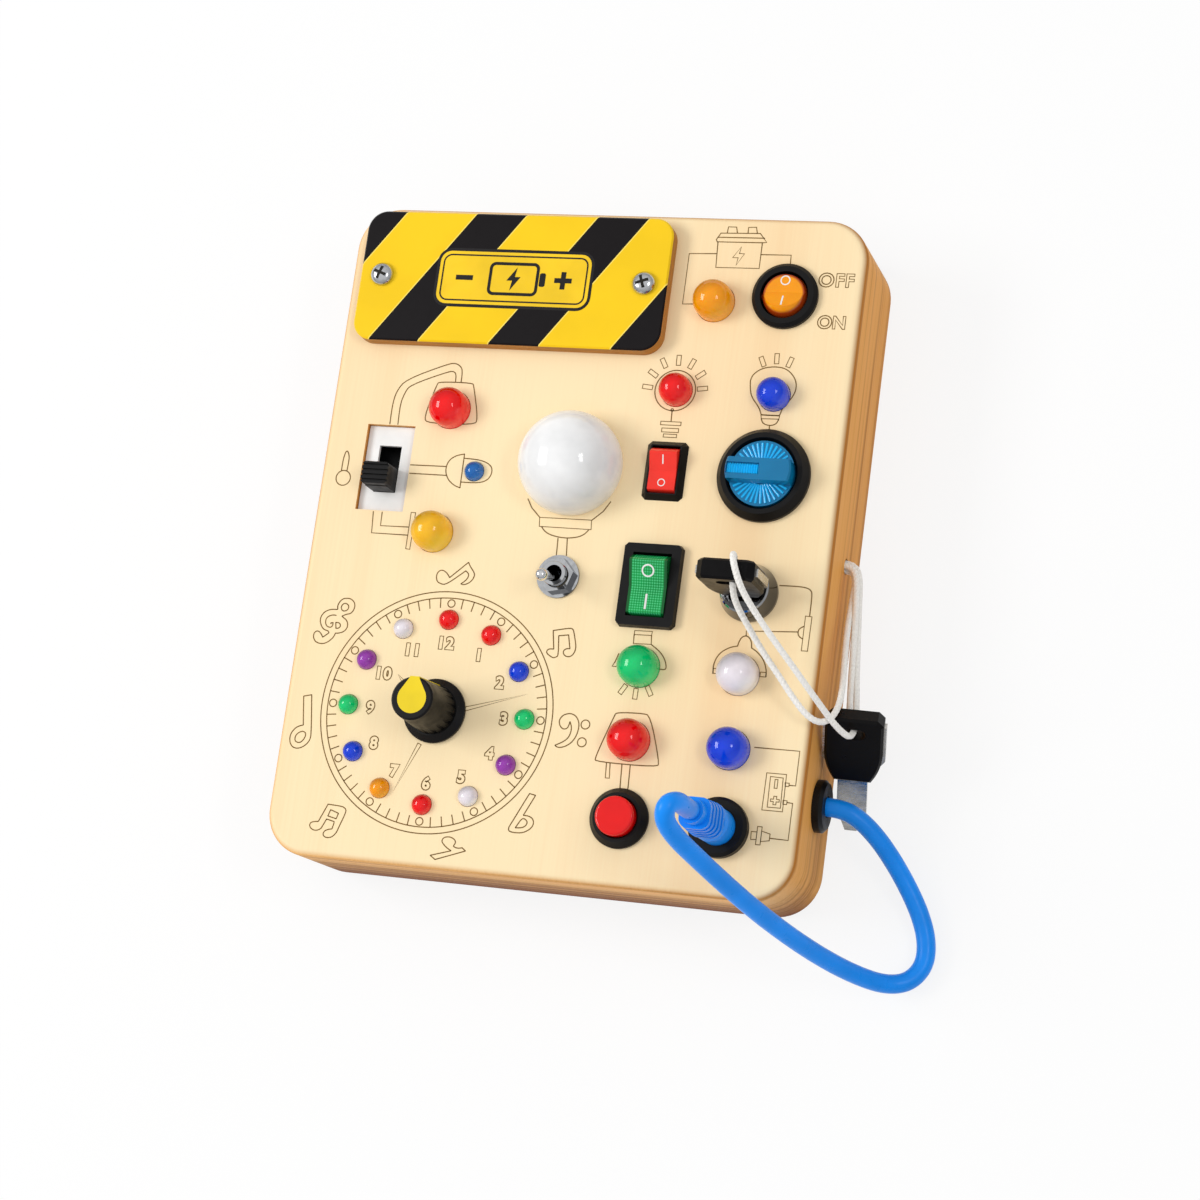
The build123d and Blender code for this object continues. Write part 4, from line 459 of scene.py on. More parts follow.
class BusyBoardStageSettings(bpy.types.PropertyGroup):
    """Light and floor of the studio."""

    floor: colour("Floor", "Matt pale floor", "F8F8F8")
    left_power: power("Left soft box", "Power of the soft box at the left", 10.2)
    right_power: power("Right soft box", "Power of the small soft box at the right", 2.6)
    lamp_distance: size("Soft box distance", "Distance of both soft boxes from the board", 1.5)
    sky_low: factor("Walls", "Brightness of the room's dim walls", 0.35)
    sky_high: factor("Ceiling", "Brightness of the room overhead", 0.8)
    shadow_lift: factor("Shadow lift", "How far the floor's shadows are lifted towards white", 0.82)


# ---------------------------------------------------------------- nodes and materials


def node(tree, kind, inputs=None, **settings):
    """Add a node with its settings, and fill its sockets with values or links."""
    made = tree.nodes.new(kind)
    for key, value in settings.items():
        setattr(made, key, value)
    for key, value in (inputs or {}).items():
        if isinstance(value, bpy.types.NodeSocket):
            tree.links.new(value, made.inputs[key])
        else:
            made.inputs[key].default_value = value
    return made


def result(tree, kind, inputs=None, **settings):
    """First output of a new node."""
    return node(tree, kind, inputs, **settings).outputs[0]


def calculated(tree, operation, *values, **settings):
    """Number worked out from values or links."""
    return result(tree, "ShaderNodeMath", dict(enumerate(values)), operation=operation, **settings)


def above(tree, value, level):
    """Mask that is 1 where a value is over a level."""
    return calculated(tree, "GREATER_THAN", value, level)


def mapped(tree, value, low=0.0, high=1.0, least=0.0, most=1.0):
    """How far a value is on its way from low to high, given as a number from least to most."""
    span = {"Value": value, "From Min": low, "From Max": high, "To Min": least, "To Max": most}
    return result(tree, "ShaderNodeMapRange", span)


def part_of(tree, vector, axis):
    """One axis of a vector."""
    return node(tree, "ShaderNodeSeparateXYZ", {0: vector}).outputs[axis]


def object_place(tree):
    """Place on the object itself."""
    return node(tree, "ShaderNodeTexCoord").outputs["Object"]


def object_normal(tree):
    """Direction in which the surface looks, on the object itself."""
    return node(tree, "ShaderNodeTexCoord").outputs["Normal"]


def noise(tree, where, scale, detail=2.0):
    """Soft noise over a place."""
    return result(tree, "ShaderNodeTexNoise", {"Vector": where, "Scale": scale, "Detail": detail})


def stretched(tree, where, scale):
    """Place drawn out by a scale for each axis."""
    return result(tree, "ShaderNodeMapping", {"Vector": where, "Scale": scale})


def streaks(tree, where, scale, detail, low, high, least=0.0, most=1.0):
    """Noise drawn out into streaks, as a share from least to most."""
    return mapped(tree, noise(tree, stretched(tree, where, scale), 1.0, detail), low, high, least, most)


def blended(tree, share, first, second, **settings):
    """Colour between two others."""
    inputs = {0: share, 6: first, 7: second}
    return node(tree, "ShaderNodeMix", inputs, data_type="RGBA", **settings).outputs[2]


def mottle(tree, where, scale, first, second):
    """Colour that wanders between two by soft noise."""
    return blended(tree, mapped(tree, noise(tree, where, scale, 3.0), 0.35, 0.65), first, second)


def darker(shade, share):
    """A colour with that share of its light."""
    return (shade[0] * share, shade[1] * share, shade[2] * share, 1.0)


def surface(name, **constants):
    """New material with its tree and shader; constants go on the shader's own sockets."""
    made = bpy.data.materials.new(name)
    made.use_nodes = True
    tree, shader = opened(made)
    for key, value in constants.items():
        shader.inputs[key.replace("_", " ")].default_value = value
    return made, tree, shader


def opened(material):
    """Tree and shader of a material."""
    return material.node_tree, material.node_tree.nodes["Principled BSDF"]


def feed(tree, shader, **sockets):
    """Link results into a shader's sockets."""
    for key, value in sockets.items():
        tree.links.new(value, shader.inputs[key.replace("_", " ")])


def texture_bump(tree, shader, height, strength, distance):
    """Small relief on a surface."""
    inputs = {"Height": height, "Strength": strength, "Distance": distance}
    feed(tree, shader, Normal=result(tree, "ShaderNodeBump", inputs))


def overlay(tree, shader, mask, shade):
    """Lay another colour over a surface where the mask is 1."""
    under = shader.inputs["Base Color"].links[0].from_socket
    feed(tree, shader, Base_Color=blended(tree, mask, under, shade))


def wood(name, face, band, edge, edge_line, end, end_low, layer):
    """Sanded and thinly lacquered pine. Its growth rings lie almost flat in the thickness, so they show as
    wide soft bands on the face and as close lines on the edges; the end grain drinks more lacquer and goes
    darker."""
    made, tree, shader = surface(name, Specular_IOR_Level=0.04)
    where = object_place(tree)
    bands = streaks(tree, where, (36.0, 1.7, 9.0), 3.0, 0.46, 0.74)
    rings = streaks(tree, where, (4.0, 4.0, 1 / layer), 3.0, 0.47, 0.62)
    pale, dark = -0.14, 0.2
    fibres = streaks(tree, where, (1500.0, 22.0, 1500.0), 4.0, 0.3, 0.75, pale, dark)
    on_face = calculated(tree, "ADD", bands, fibres, use_clamp=True)
    on_side = calculated(tree, "ADD", rings, fibres, use_clamp=True)
    # Which way a surface looks tells face, long edge and end apart
    normal = object_normal(tree)
    is_face = mapped(tree, calculated(tree, "ABSOLUTE", part_of(tree, normal, "Z")), 0.5, 0.95)
    is_end = mapped(tree, calculated(tree, "ABSOLUTE", part_of(tree, normal, "Y")), 0.35, 0.9)
    long_edge = blended(tree, on_side, edge, edge_line)
    # Painted shade: the end grain is painted darker from the face down to the back
    rise = mapped(tree, part_of(tree, where, "Z"), 0.002, FACE_Z - 0.003)
    end_with_painted_shade = blended(tree, rise, end_low, end)
    browned = blended(tree, 1.0, end_with_painted_shade, darker((1.0, 0.86, 0.7), 0.62), blend_type="MULTIPLY")
    end_grain = blended(tree, on_side, end_with_painted_shade, browned)
    sides = blended(tree, is_end, long_edge, end_grain)
    feed(
        tree, shader, Base_Color=blended(tree, is_face, sides, blended(tree, on_face, face, band)),
        Roughness=mapped(tree, fibres, pale, dark, 0.42, 0.62),
    )
    texture_bump(tree, shader, fibres, 0.12, 0.0001)
    return made


def plastic(name, shade, roughness, grain=0.0, **constants):
    """Injection-moulded plastic: an even colour with faint flow marks, and a fine grain if it is matt."""
    made, tree, shader = surface(name, **constants)
    where = object_place(tree)
    rub = noise(tree, where, 420.0, 3.0)
    feed(
        tree, shader, Base_Color=mottle(tree, where, 90.0, shade, darker(shade, 0.86)),
        Roughness=mapped(tree, rub, 0.3, 0.7, roughness * 0.8, roughness * 1.2),
    )
    if grain:
        texture_bump(tree, shader, noise(tree, where, 5200.0), grain, 0.00005)
    return made


def resin(name, shade):
    """Cast tinted resin of a lamp under a wet gloss, with painted light in its colour: the flank turned to the
    light is painted darker as shade, and the far flank is painted paler as a glow."""
    made, tree, shader = surface(
        name, Subsurface_Weight=0.15, Subsurface_Scale=0.0012, Subsurface_Radius=shade[:3],
        Specular_IOR_Level=0.45,
    )
    where = object_place(tree)
    # Painted light: the colour is painted darker on the flank towards the light, as shade, and paler on the
    # far flank, as a glow
    from_light = {0: object_normal(tree), 1: (0.62, -0.78, 0.0)}
    across = node(tree, "ShaderNodeVectorMath", from_light, operation="DOT_PRODUCT").outputs["Value"]
    painted_shade_falloff = mapped(tree, across, -0.85, 0.0)
    glow = mapped(tree, across, 0.55, 0.95, 0.0, 0.7)
    swirl = mottle(tree, where, 260.0, shade, darker(shade, 0.9))
    swirl_with_painted_shade = blended(tree, painted_shade_falloff, darker(shade, 0.5), swirl)
    pale = tuple(min(1.0, 1.25 * c + 0.05) for c in shade[:3]) + (1.0,)
    feed(
        tree, shader, Base_Color=blended(tree, glow, swirl_with_painted_shade, pale),
        Roughness=mapped(tree, noise(tree, where, 300.0), least=0.03, most=0.1),
    )
    return made


def metal(name, shade, roughness, scratch):
    """Plated or turned metal: mirror-like where it was polished, with fine hairlines that roughen it."""
    made, tree, shader = surface(name, Metallic=1.0)
    where = object_place(tree)
    hair = noise(tree, stretched(tree, where, (250.0, 2600.0, 900.0)), 1.0, 3.0)
    feed(
        tree, shader, Base_Color=mottle(tree, where, 700.0, shade, darker(shade, 0.82)),
        Roughness=mapped(tree, hair, 0.35, 0.7, roughness, roughness + scratch),
    )
    texture_bump(tree, shader, hair, 0.04, 0.00002)
    return made


def dull_flanks(material, shade):
    """Turned sides of a plated part, painted darker than its polished top: a painted reflection of a dim room.
    """
    tree, shader = opened(material)
    flank = mapped(tree, part_of(tree, object_normal(tree), "Z"), 0.35, 0.8, 1.0, 0.0)
    overlay(tree, shader, flank, shade)


def deep_rim(material, middle, reach, shade):
    """Rim of a tinted round button, painted dark as shade, as if it were seen through its whole depth there.
    """
    tree, shader = opened(material)
    away = result(tree, "ShaderNodeVectorMath", {0: object_place(tree), 1: middle}, operation="SUBTRACT")
    level = result(tree, "ShaderNodeVectorMath", {0: away, 1: (1.0, 1.0, 0.0)}, operation="MULTIPLY")
    out = node(tree, "ShaderNodeVectorMath", {0: level}, operation="LENGTH").outputs["Value"]
    overlay(tree, shader, mapped(tree, out, reach, reach + 0.0005), shade)


def hazard_sheet(settings):
    """Printed plastic film on a thin wooden plate: black stripes with a hair of paler yellow beside them, and
    the plate's own scorched edge below the film."""
    made, tree, shader = surface("printed_cover_film", Specular_IOR_Level=0.15)
    where = object_place(tree)
    slope, first_stripe, hair = 0.716, 0.0172, 0.00035
    lean = calculated(tree, "MULTIPLY_ADD", part_of(tree, where, "Y"), -slope, part_of(tree, where, "X"))
    along = calculated(tree, "SUBTRACT", lean, PLATE.x - slope * PLATE.y - first_stripe)
    # Distance along the cover from the middle of the nearest black stripe
    folded = calculated(tree, "PINGPONG", along, settings.period / 2)
    black = calculated(tree, "LESS_THAN", folded, settings.width / 2)
    halo = calculated(tree, "LESS_THAN", folded, settings.width / 2 + hair)
    yellow = mottle(tree, where, 60.0, settings.yellow, darker(settings.yellow, 0.93))
    ink = blended(tree, black, blended(tree, halo, yellow, srgb("FFE36A")), settings.black)
    grain = stretched(tree, where, (120.0, 120.0, 1800.0))
    edge = mottle(tree, grain, 1.0, settings.edge, darker(settings.edge, 0.7))
    is_top = above(tree, part_of(tree, object_normal(tree), "Z"), 0.6)
    feed(
        tree, shader, Base_Color=blended(tree, is_top, edge, ink),
        Roughness=mapped(tree, noise(tree, where, 500.0), least=0.3, most=0.45),
    )
    return made


def dotted_resin(name, shade, bright, pitch):
    """Tinted button over a grid of small lenses, which shine through its clear skin as bright dots."""
    made, tree, shader = surface(name, Specular_IOR_Level=0.4)
    where = object_place(tree)
    turns = result(tree, "ShaderNodeVectorMath", {0: where, "Scale": 2 * pi / pitch}, operation="SCALE")
    waves = [calculated(tree, "COSINE", part_of(tree, turns, axis)) for axis in "XY"]
    share = mapped(tree, calculated(tree, "ADD", *waves), -0.4, 1.7, 0.0, 0.75)
    swirl = mottle(tree, where, 150.0, shade, darker(shade, 0.75))
    feed(
        tree, shader, Base_Color=blended(tree, share, swirl, bright),
        Roughness=mapped(tree, share, least=0.12, most=0.22),
    )
    # Painted shade: past the lenses, where the skin is clear, the colour is painted darker
    off = calculated(tree, "SUBTRACT", part_of(tree, where, "X"), centre_of("large_rocker_button").x)
    painted_shade_past_lenses = above(tree, calculated(tree, "ABSOLUTE", off), 0.0041)
    overlay(tree, shader, painted_shade_past_lenses, darker(shade, 0.3))
    texture_bump(tree, shader, share, 0.15, 0.0001)
    return made


def braided_cotton(name, shade):
    """Bleached cotton braid: the strands are in the mesh, and loose fibres soften them here."""
    made, tree, shader = surface(name, Sheen_Weight=0.2, Sheen_Roughness=0.5, Specular_IOR_Level=0.15)
    where = object_place(tree)
    fuzz = noise(tree, where, 9000.0, 4.0)
    feed(
        tree, shader, Base_Color=mottle(tree, where, 1800.0, shade, darker(shade, 0.9)),
        Roughness=mapped(tree, fuzz, least=0.75, most=0.95),
    )
    texture_bump(tree, shader, fuzz, 0.12, 0.00005)
    return made


def scorched(name, shade):
    """Wood burnt by a laser, which leaves a brown that wanders to a darker one along the line."""
    made, tree, shader = surface(name, Specular_IOR_Level=0.1)
    where = object_place(tree)
    feed(
        tree, shader, Base_Color=mottle(tree, where, 320.0, shade, darker(shade, 0.72)),
        Roughness=mapped(tree, noise(tree, where, 4000.0), least=0.7, most=0.95),
    )
    return made


def paint(material, *names):
    """Give parts their finish."""
    for name in names:
        slots = frame["nodes"][name].data.materials
        slots.clear()
        slots.append(material)


# ---------------------------------------------------------------- meshes and pieces


def put(name, data):
    """New object in the scene that carries data."""
    made = bpy.data.objects.new(name, data)
    bpy.context.scene.collection.objects.link(made)
    return made


def plain_mesh(name, points, edges, faces):
    """New mesh of points, edges and faces."""
    mesh = bpy.data.meshes.new(name)
    mesh.from_pydata(points, edges, faces)
    return mesh


def piece(name, mesh, body, slot, *materials):
    """Add a finished mesh to the scene, riding on a body if one is given."""
    made = put(name, mesh)
    for material in materials:
        mesh.materials.append(material)
    if body:
        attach(made, body)
    return made


def from_curve(curve):
    """Plain mesh of a curve or text, which is then dropped."""
    carrier = put(curve.name, curve)
    bpy.context.view_layer.update()
    mesh = bpy.data.meshes.new_from_object(carrier)
    bpy.data.objects.remove(carrier)
    bpy.data.curves.remove(curve)
    return mesh


def filled(loops, z, material_index=0):
    """Points and faces of a flat shape: outlines in millimetres, the inner ones being holes."""
    curve = bpy.data.curves.new("fill", "CURVE")
    curve.dimensions = "2D"
    curve.fill_mode = "BOTH"
    for loop in loops:
        spline = curve.splines.new("POLY")
        spline.points.add(len(loop) - 1)
        for point, (x, y) in zip(spline.points, loop):
            point.co = (x * MM, y * MM, 0, 1)
        spline.use_cyclic_u = True
    mesh = from_curve(curve)
    points = [(v.co.x, v.co.y, z) for v in mesh.vertices]
    faces = []
    for polygon in mesh.polygons:
        corners = list(polygon.vertices)
        faces.append((corners if polygon.normal.z > 0 else corners[::-1], material_index))
    bpy.data.meshes.remove(mesh)
    return points, faces


def joined(name, shapes, place=Matrix.Identity(4)):
    """One mesh of several (points, faces) shapes, put in place."""
    points, faces, indices = [], [], []
    for shape_points, shape_faces in shapes:
        start = len(points)
        points += [place @ Vector(p) for p in shape_points]
        faces += [[start + i for i in corners] for corners, _ in shape_faces]
        indices += [index for _, index in shape_faces]
    mesh = plain_mesh(name, points, [], faces)
    mesh.polygons.foreach_set("material_index", indices)
    return mesh


def moved(shape, place):
    """A (points, faces) shape put in place."""
    points, faces = shape
    return [place @ Vector(p) for p in points], faces


def ring_loop(middle, radius, steps=48):
    """Circle as a loop of points."""
    angles = [2 * pi * i / steps for i in range(steps)]
    return [(middle[0] + radius * cos(angle), middle[1] + radius * sin(angle)) for angle in angles]


def box_loop(middle, length, width, angle=0.0):
    """Rectangle as a loop of points, its length along the angle."""
    a, b = length / 2, width / 2
    return [
        (middle[0] + x * cos(angle) - y * sin(angle), middle[1] + x * sin(angle) + y * cos(angle))
        for x, y in ((a, b), (-a, b), (-a, -b), (a, -b))
    ]


def cross_loop(middle, arm, half):
    """Cross with equal arms as a loop of points: how far an arm reaches, and half its width."""
    corners = [
        (arm, -half), (arm, half), (half, half), (half, arm), (-half, arm), (-half, half),
        (-arm, half), (-arm, -half), (-half, -half), (-half, -arm), (half, -arm), (half, -half),
    ]
    return [(middle[0] + x, middle[1] + y) for x, y in corners]


def round_loop(middle, length, width, radius):
    """Rectangle with round corners as a loop of points."""
    loop = []
    steps = 6
    for quarter, (sx, sy) in enumerate(((1, -1), (1, 1), (-1, 1), (-1, -1))):
        x, y = middle[0] + sx * (length / 2 - radius), middle[1] + sy * (width / 2 - radius)
        for step in range(steps + 1):
            angle = (quarter - 1 + step / steps) * pi / 2
            loop.append((x + radius * cos(angle), y + radius * sin(angle)))
    return loop


def cut_corners(points, closed):
    """Round a drawn outline by cutting its corners twice."""
    for _ in range(2):
        cut = []
        for (ax, ay), (bx, by) in zip(points, points[1:] + points[:1] if closed else points[1:]):
            cut.append((0.75 * ax + 0.25 * bx, 0.75 * ay + 0.25 * by))
            cut.append((0.25 * ax + 0.75 * bx, 0.25 * ay + 0.75 * by))
        points = cut if closed else [points[0]] + cut[1:-1] + [points[-1]]
    return points


def offset_loop(loop, distance):
    """Loop moved to its right by a distance, with its corners kept."""
    outline = []
    for before, here, after in zip(loop[-1:] + loop[:-1], loop, loop[1:] + loop[:1]):
        runs = (here - before).normalized(), (after - here).normalized()
        both = sum((Vector((run.y, -run.x)) for run in runs), Vector((0, 0)))
        outline.append(here + both * distance / max(0.5, both.length_squared / 2))
    return outline


def text_loops(text, middle, height, weight, spacing):
    """Outlines of a word or number round a middle, in millimetres, standing off the letters by a weight."""
    curve = bpy.data.curves.new("letters", "FONT")
    curve.body = text
    curve.size = height
    curve.fill_mode = "NONE"
    curve.resolution_u = 4
    curve.space_character = spacing
    mesh = from_curve(curve)
    points = [v.co.xy for v in mesh.vertices]
    low = Vector((min(p.x for p in points), min(p.y for p in points)))
    high = Vector((max(p.x for p in points), max(p.y for p in points)))
    shift = Vector(middle) - (low + high) / 2
    linked = {tuple(sorted(e.vertices)) for e in mesh.edges}
    loops = [[points[0] + shift]]
    for i in range(1, len(points)):
        if (i - 1, i) not in linked:
            loops.append([])
        loops[-1].append(points[i] + shift)
    bpy.data.meshes.remove(mesh)
    # Outer outlines run one way round and holes the other, so the sum of their areas tells which side is out
    area = sum(a.cross(b) for loop in loops for a, b in zip(loop, loop[1:] + loop[:1]))
    return [offset_loop(loop, weight if area > 0 else -weight) for loop in loops]


def group_inputs(name, sockets):
    """Geometry node tree with named inputs, and the sockets that carry them."""
    tree = bpy.data.node_groups.new(name, "GeometryNodeTree")
    tree.interface.new_socket(name="Geometry", in_out="INPUT", socket_type="NodeSocketGeometry")
    for label, kind in sockets.items():
        tree.interface.new_socket(name=label, in_out="INPUT", socket_type="NodeSocket" + kind)
    tree.interface.new_socket(name="Geometry", in_out="OUTPUT", socket_type="NodeSocketGeometry")
    return tree, tree.nodes.new("NodeGroupInput").outputs


def close_group(tree, geometry, material):
    """End a tree: make the instances real and give them their material."""
    real = result(tree, "GeometryNodeRealizeInstances", {"Geometry": geometry})
    done = result(tree, "GeometryNodeSetMaterial", {"Geometry": real, "Material": material})
    node(tree, "NodeGroupOutput", {0: done})


def grown(name, tree, values, source=None):
    """Mesh that a tree makes from named values, and from a source mesh if it takes one."""
    carrier = put(name, source or bpy.data.meshes.new(name))
    modifier = carrier.modifiers.new(name, "NODES")
    modifier.node_group = tree
    for item in tree.interface.items_tree:
        if item.in_out == "INPUT" and item.name in values:
            modifier[item.identifier] = values[item.name]
    bpy.context.view_layer.update()
    graph = bpy.context.evaluated_depsgraph_get()
    mesh = bpy.data.meshes.new_from_object(carrier.evaluated_get(graph), depsgraph=graph)
    bpy.data.objects.remove(carrier)
    if not mesh.polygons:
        raise RuntimeError(f"{name} came out empty")
    return mesh


def along_axis(tree, axis, value):
    """Vector with a value on one axis."""
    return result(tree, "ShaderNodeCombineXYZ", {axis: value})


def growing_turn(tree, step, first=0.0):
    """Turn about Z that grows by a step from point to point."""
    index = result(tree, "GeometryNodeInputIndex")
    return along_axis(tree, "Z", calculated(tree, "MULTIPLY_ADD", index, step, first))


def spread(tree, points, instance, **more):
    """An instance on each point."""
    return result(tree, "GeometryNodeInstanceOnPoints", {"Points": points, "Instance": instance, **more})


def moved_by(tree, geometry, way, **more):
    """Geometry moved by a vector."""
    return result(tree, "GeometryNodeTransform", {"Geometry": geometry, "Translation": way, **more})


def flat_strokes(tree, curves, width):
    """Turn curves on the face into flat strokes of a width."""
    level = result(tree, "GeometryNodeSetCurveNormal", {"Curve": curves}, mode="Z_UP")
    end = along_axis(tree, "X", calculated(tree, "MULTIPLY", width, 0.5))
    start = result(tree, "ShaderNodeVectorMath", {0: end, "Scale": -1.0}, operation="SCALE")
    profile = result(tree, "GeometryNodeCurvePrimitiveLine", {"Start": start, "End": end})
    return result(tree, "GeometryNodeCurveToMesh", {"Curve": level, "Profile Curve": profile})


def stroke_tree():
    """Tree that strokes the edges of a drawn mesh."""
    tree, given = group_inputs("engraved_strokes", {"Line Width": "Float", "Material": "Material"})
    curves = result(tree, "GeometryNodeMeshToCurve", {0: given["Geometry"]})
    close_group(tree, flat_strokes(tree, curves, given["Line Width"]), given["Material"])
    return tree


def dial_tree():
    """Tree that draws the clock dial: two circles, minute ticks, and a small ring at each hour."""
    tree, given = group_inputs(
        "engraved_dial",
        {
            "Centre": "Vector", "Outer Radius": "Float", "Inner Radius": "Float", "Tick Length": "Float",
            "Hour Ring Place": "Float", "Hour Ring Radius": "Float", "Line Width": "Float",
            "Material": "Material",
        },
    )
    outer, inner, ring = (
        result(tree, "GeometryNodeCurvePrimitiveCircle", {"Resolution": steps, "Radius": given[label]})
        for label, steps in (("Outer Radius", 160), ("Inner Radius", 160), ("Hour Ring Radius", 20))
    )
    # Minute ticks inside the inner circle, none at the hours
    foot = calculated(tree, "SUBTRACT", given["Inner Radius"], given["Tick Length"])
    ends = {"Start": along_axis(tree, "X", foot), "End": along_axis(tree, "X", given["Inner Radius"])}
    tick = result(tree, "GeometryNodeCurvePrimitiveLine", ends)
    fifth = calculated(tree, "MODULO", result(tree, "GeometryNodeInputIndex"), 5.0)
    minutes = result(tree, "GeometryNodePoints", {"Count": 60})
    turns = growing_turn(tree, radians(6))
    ticks = spread(tree, minutes, tick, Selection=above(tree, fifth, 0.5), Rotation=turns)
    # A ring at each hour
    ring_out = moved_by(tree, ring, along_axis(tree, "X", given["Hour Ring Place"]))
    hours = result(tree, "GeometryNodePoints", {"Count": 12})
    rings = spread(tree, hours, ring_out, Rotation=growing_turn(tree, radians(30)))
    drawing = node(tree, "GeometryNodeJoinGeometry")
    for made in (outer, inner, ticks, rings):
        tree.links.new(made, drawing.inputs[0])
    real = result(tree, "GeometryNodeRealizeInstances", {"Geometry": drawing.outputs[0]})
    placed = moved_by(tree, real, given["Centre"])
    close_group(tree, flat_strokes(tree, placed, given["Line Width"]), given["Material"])
    return tree


def fan_tree():
    """Tree that lays round ribs like a fan about a centre."""
    tree, given = group_inputs(
        "rib_fan",
        {
            "Centre": "Vector", "Count": "Int", "First Angle": "Float", "Angle Step": "Float",
            "Inner Radius": "Float", "Outer Radius": "Float", "Rib Radius": "Float", "Material": "Material",
        },
    )
    ends = given["Outer Radius"], given["Inner Radius"]
    reach = calculated(tree, "SUBTRACT", *ends)
    middle = calculated(tree, "MULTIPLY", calculated(tree, "ADD", *ends), 0.5)
    sizes = {"Vertices": 10, "Radius": given["Rib Radius"], "Depth": reach}
    rod = result(tree, "GeometryNodeMeshCylinder", sizes)
    laid = moved_by(tree, rod, along_axis(tree, "X", middle), Rotation=(0.0, pi / 2, 0.0))
    spots = result(tree, "GeometryNodePoints", {"Count": given["Count"], "Position": given["Centre"]})
    turns = growing_turn(tree, given["Angle Step"], given["First Angle"])
    close_group(tree, spread(tree, spots, laid, Rotation=turns), given["Material"])
    return tree


def row_tree():
    """Tree that repeats a source mesh along a line."""
    tree, given = group_inputs(
        "repeat_in_row", {"Start": "Vector", "Step": "Vector", "Count": "Int", "Material": "Material"}
    )
    line = {"Count": given["Count"], "Start Location": given["Start"], "Offset": given["Step"]}
    spots = result(tree, "GeometryNodeMeshLine", line, mode="OFFSET")
    close_group(tree, spread(tree, spots, given["Geometry"]), given["Material"])
    return tree


def line_points(route, steps):
    """Points along the smooth line that pulls towards a route's corners."""
    curve = bpy.data.curves.new("route", "CURVE")
    curve.dimensions = "3D"
    spline = curve.splines.new("NURBS")
    spline.points.add(len(route) - 1)
    for point, (x, y, z) in zip(spline.points, route):
        point.co = (x * MM, y * MM, z * MM, 1)
    spline.order_u = 3
    spline.use_endpoint_u = True
    spline.resolution_u = steps
    mesh = from_curve(curve)
    points = [v.co.copy() for v in mesh.vertices]
    bpy.data.meshes.remove(mesh)
    return points


def tube(name, points, radius_at, sides):
    """Mesh of a cord along points, with closed ends. radius_at gives its radius from the angle round the cord
    and the length gone along it."""
    across = (points[1] - points[0]).orthogonal().normalized()
    vertices, faces, gone = [], [], 0.0
    for i, point in enumerate(points):
        ahead = (points[min(i + 1, len(points) - 1)] - points[max(i - 1, 0)]).normalized()
        across = (across - ahead * across.dot(ahead)).normalized()
        beside = ahead.cross(across)
        if i:
            gone += (point - points[i - 1]).length
        for side in range(sides):
            angle = 2 * pi * side / sides
            vertices.append(point + radius_at(angle, gone) * (cos(angle) * across + sin(angle) * beside))
        if i:
            now, last = i * sides, (i - 1) * sides
            for j in range(sides):
                after = (j + 1) % sides
                faces.append((last + j, last + after, now + after, now + j))
    faces.append(tuple(range(sides))[::-1])
    faces.append(tuple(range(len(vertices) - sides, len(vertices))))
    mesh = plain_mesh(name, vertices, [], faces)
    mesh.polygons.foreach_set("use_smooth", [True] * len(faces))
    return mesh


# ---------------------------------------------------------------- stage and operators

# Camera: its place in metres, its lens in millimetres, and which way its right, top and back point
CAMERA_PLACE = Vector((0.22405, -0.152274, 0.676491))
CAMERA_LENS = 85.188
CAMERA_RIGHT = Vector((0.949207, 0.133322, -0.28501))
CAMERA_UP = Vector((-0.067611, 0.971059, 0.229068))
CAMERA_BACK = Vector((0.307302, -0.198163, 0.930751))
# Point that the soft boxes look at, and how far the floor reaches from the middle
LIT_POINT = Vector((0, 0, 0.03))
FLOOR_REACH = 30.0


def standing(place, right, up, back):
    """Matrix of a thing at a place, with its own axes."""
    return Matrix.LocRotScale(place, Matrix((right, up, back)).transposed(), None)


def floor_paper(shade, shadow_lift):
    """Matt background paper: white, and seen paler than its shadows light other things."""
    made, tree, shader = surface("matt_floor_paper", Roughness=0.9, Specular_IOR_Level=0.1)
    feed(tree, shader, Base_Color=mottle(tree, object_place(tree), 3.0, shade, darker(shade, 0.985)))
    rays = node(tree, "ShaderNodeLightPath").outputs
    direct = calculated(tree, "MAXIMUM", rays["Is Camera Ray"], rays["Is Glossy Ray"])
    seen = calculated(tree, "MAXIMUM", direct, rays["Is Transmission Ray"])
    lift = calculated(tree, "MULTIPLY", seen, shadow_lift)
    glow = result(tree, "ShaderNodeEmission", {"Color": (1.0, 1.0, 1.0, 1.0), "Strength": 1.0})
    both = result(tree, "ShaderNodeMixShader", {0: lift, 1: shader.outputs[0], 2: glow})
    tree.links.new(both, tree.nodes["Material Output"].inputs["Surface"])
    return made


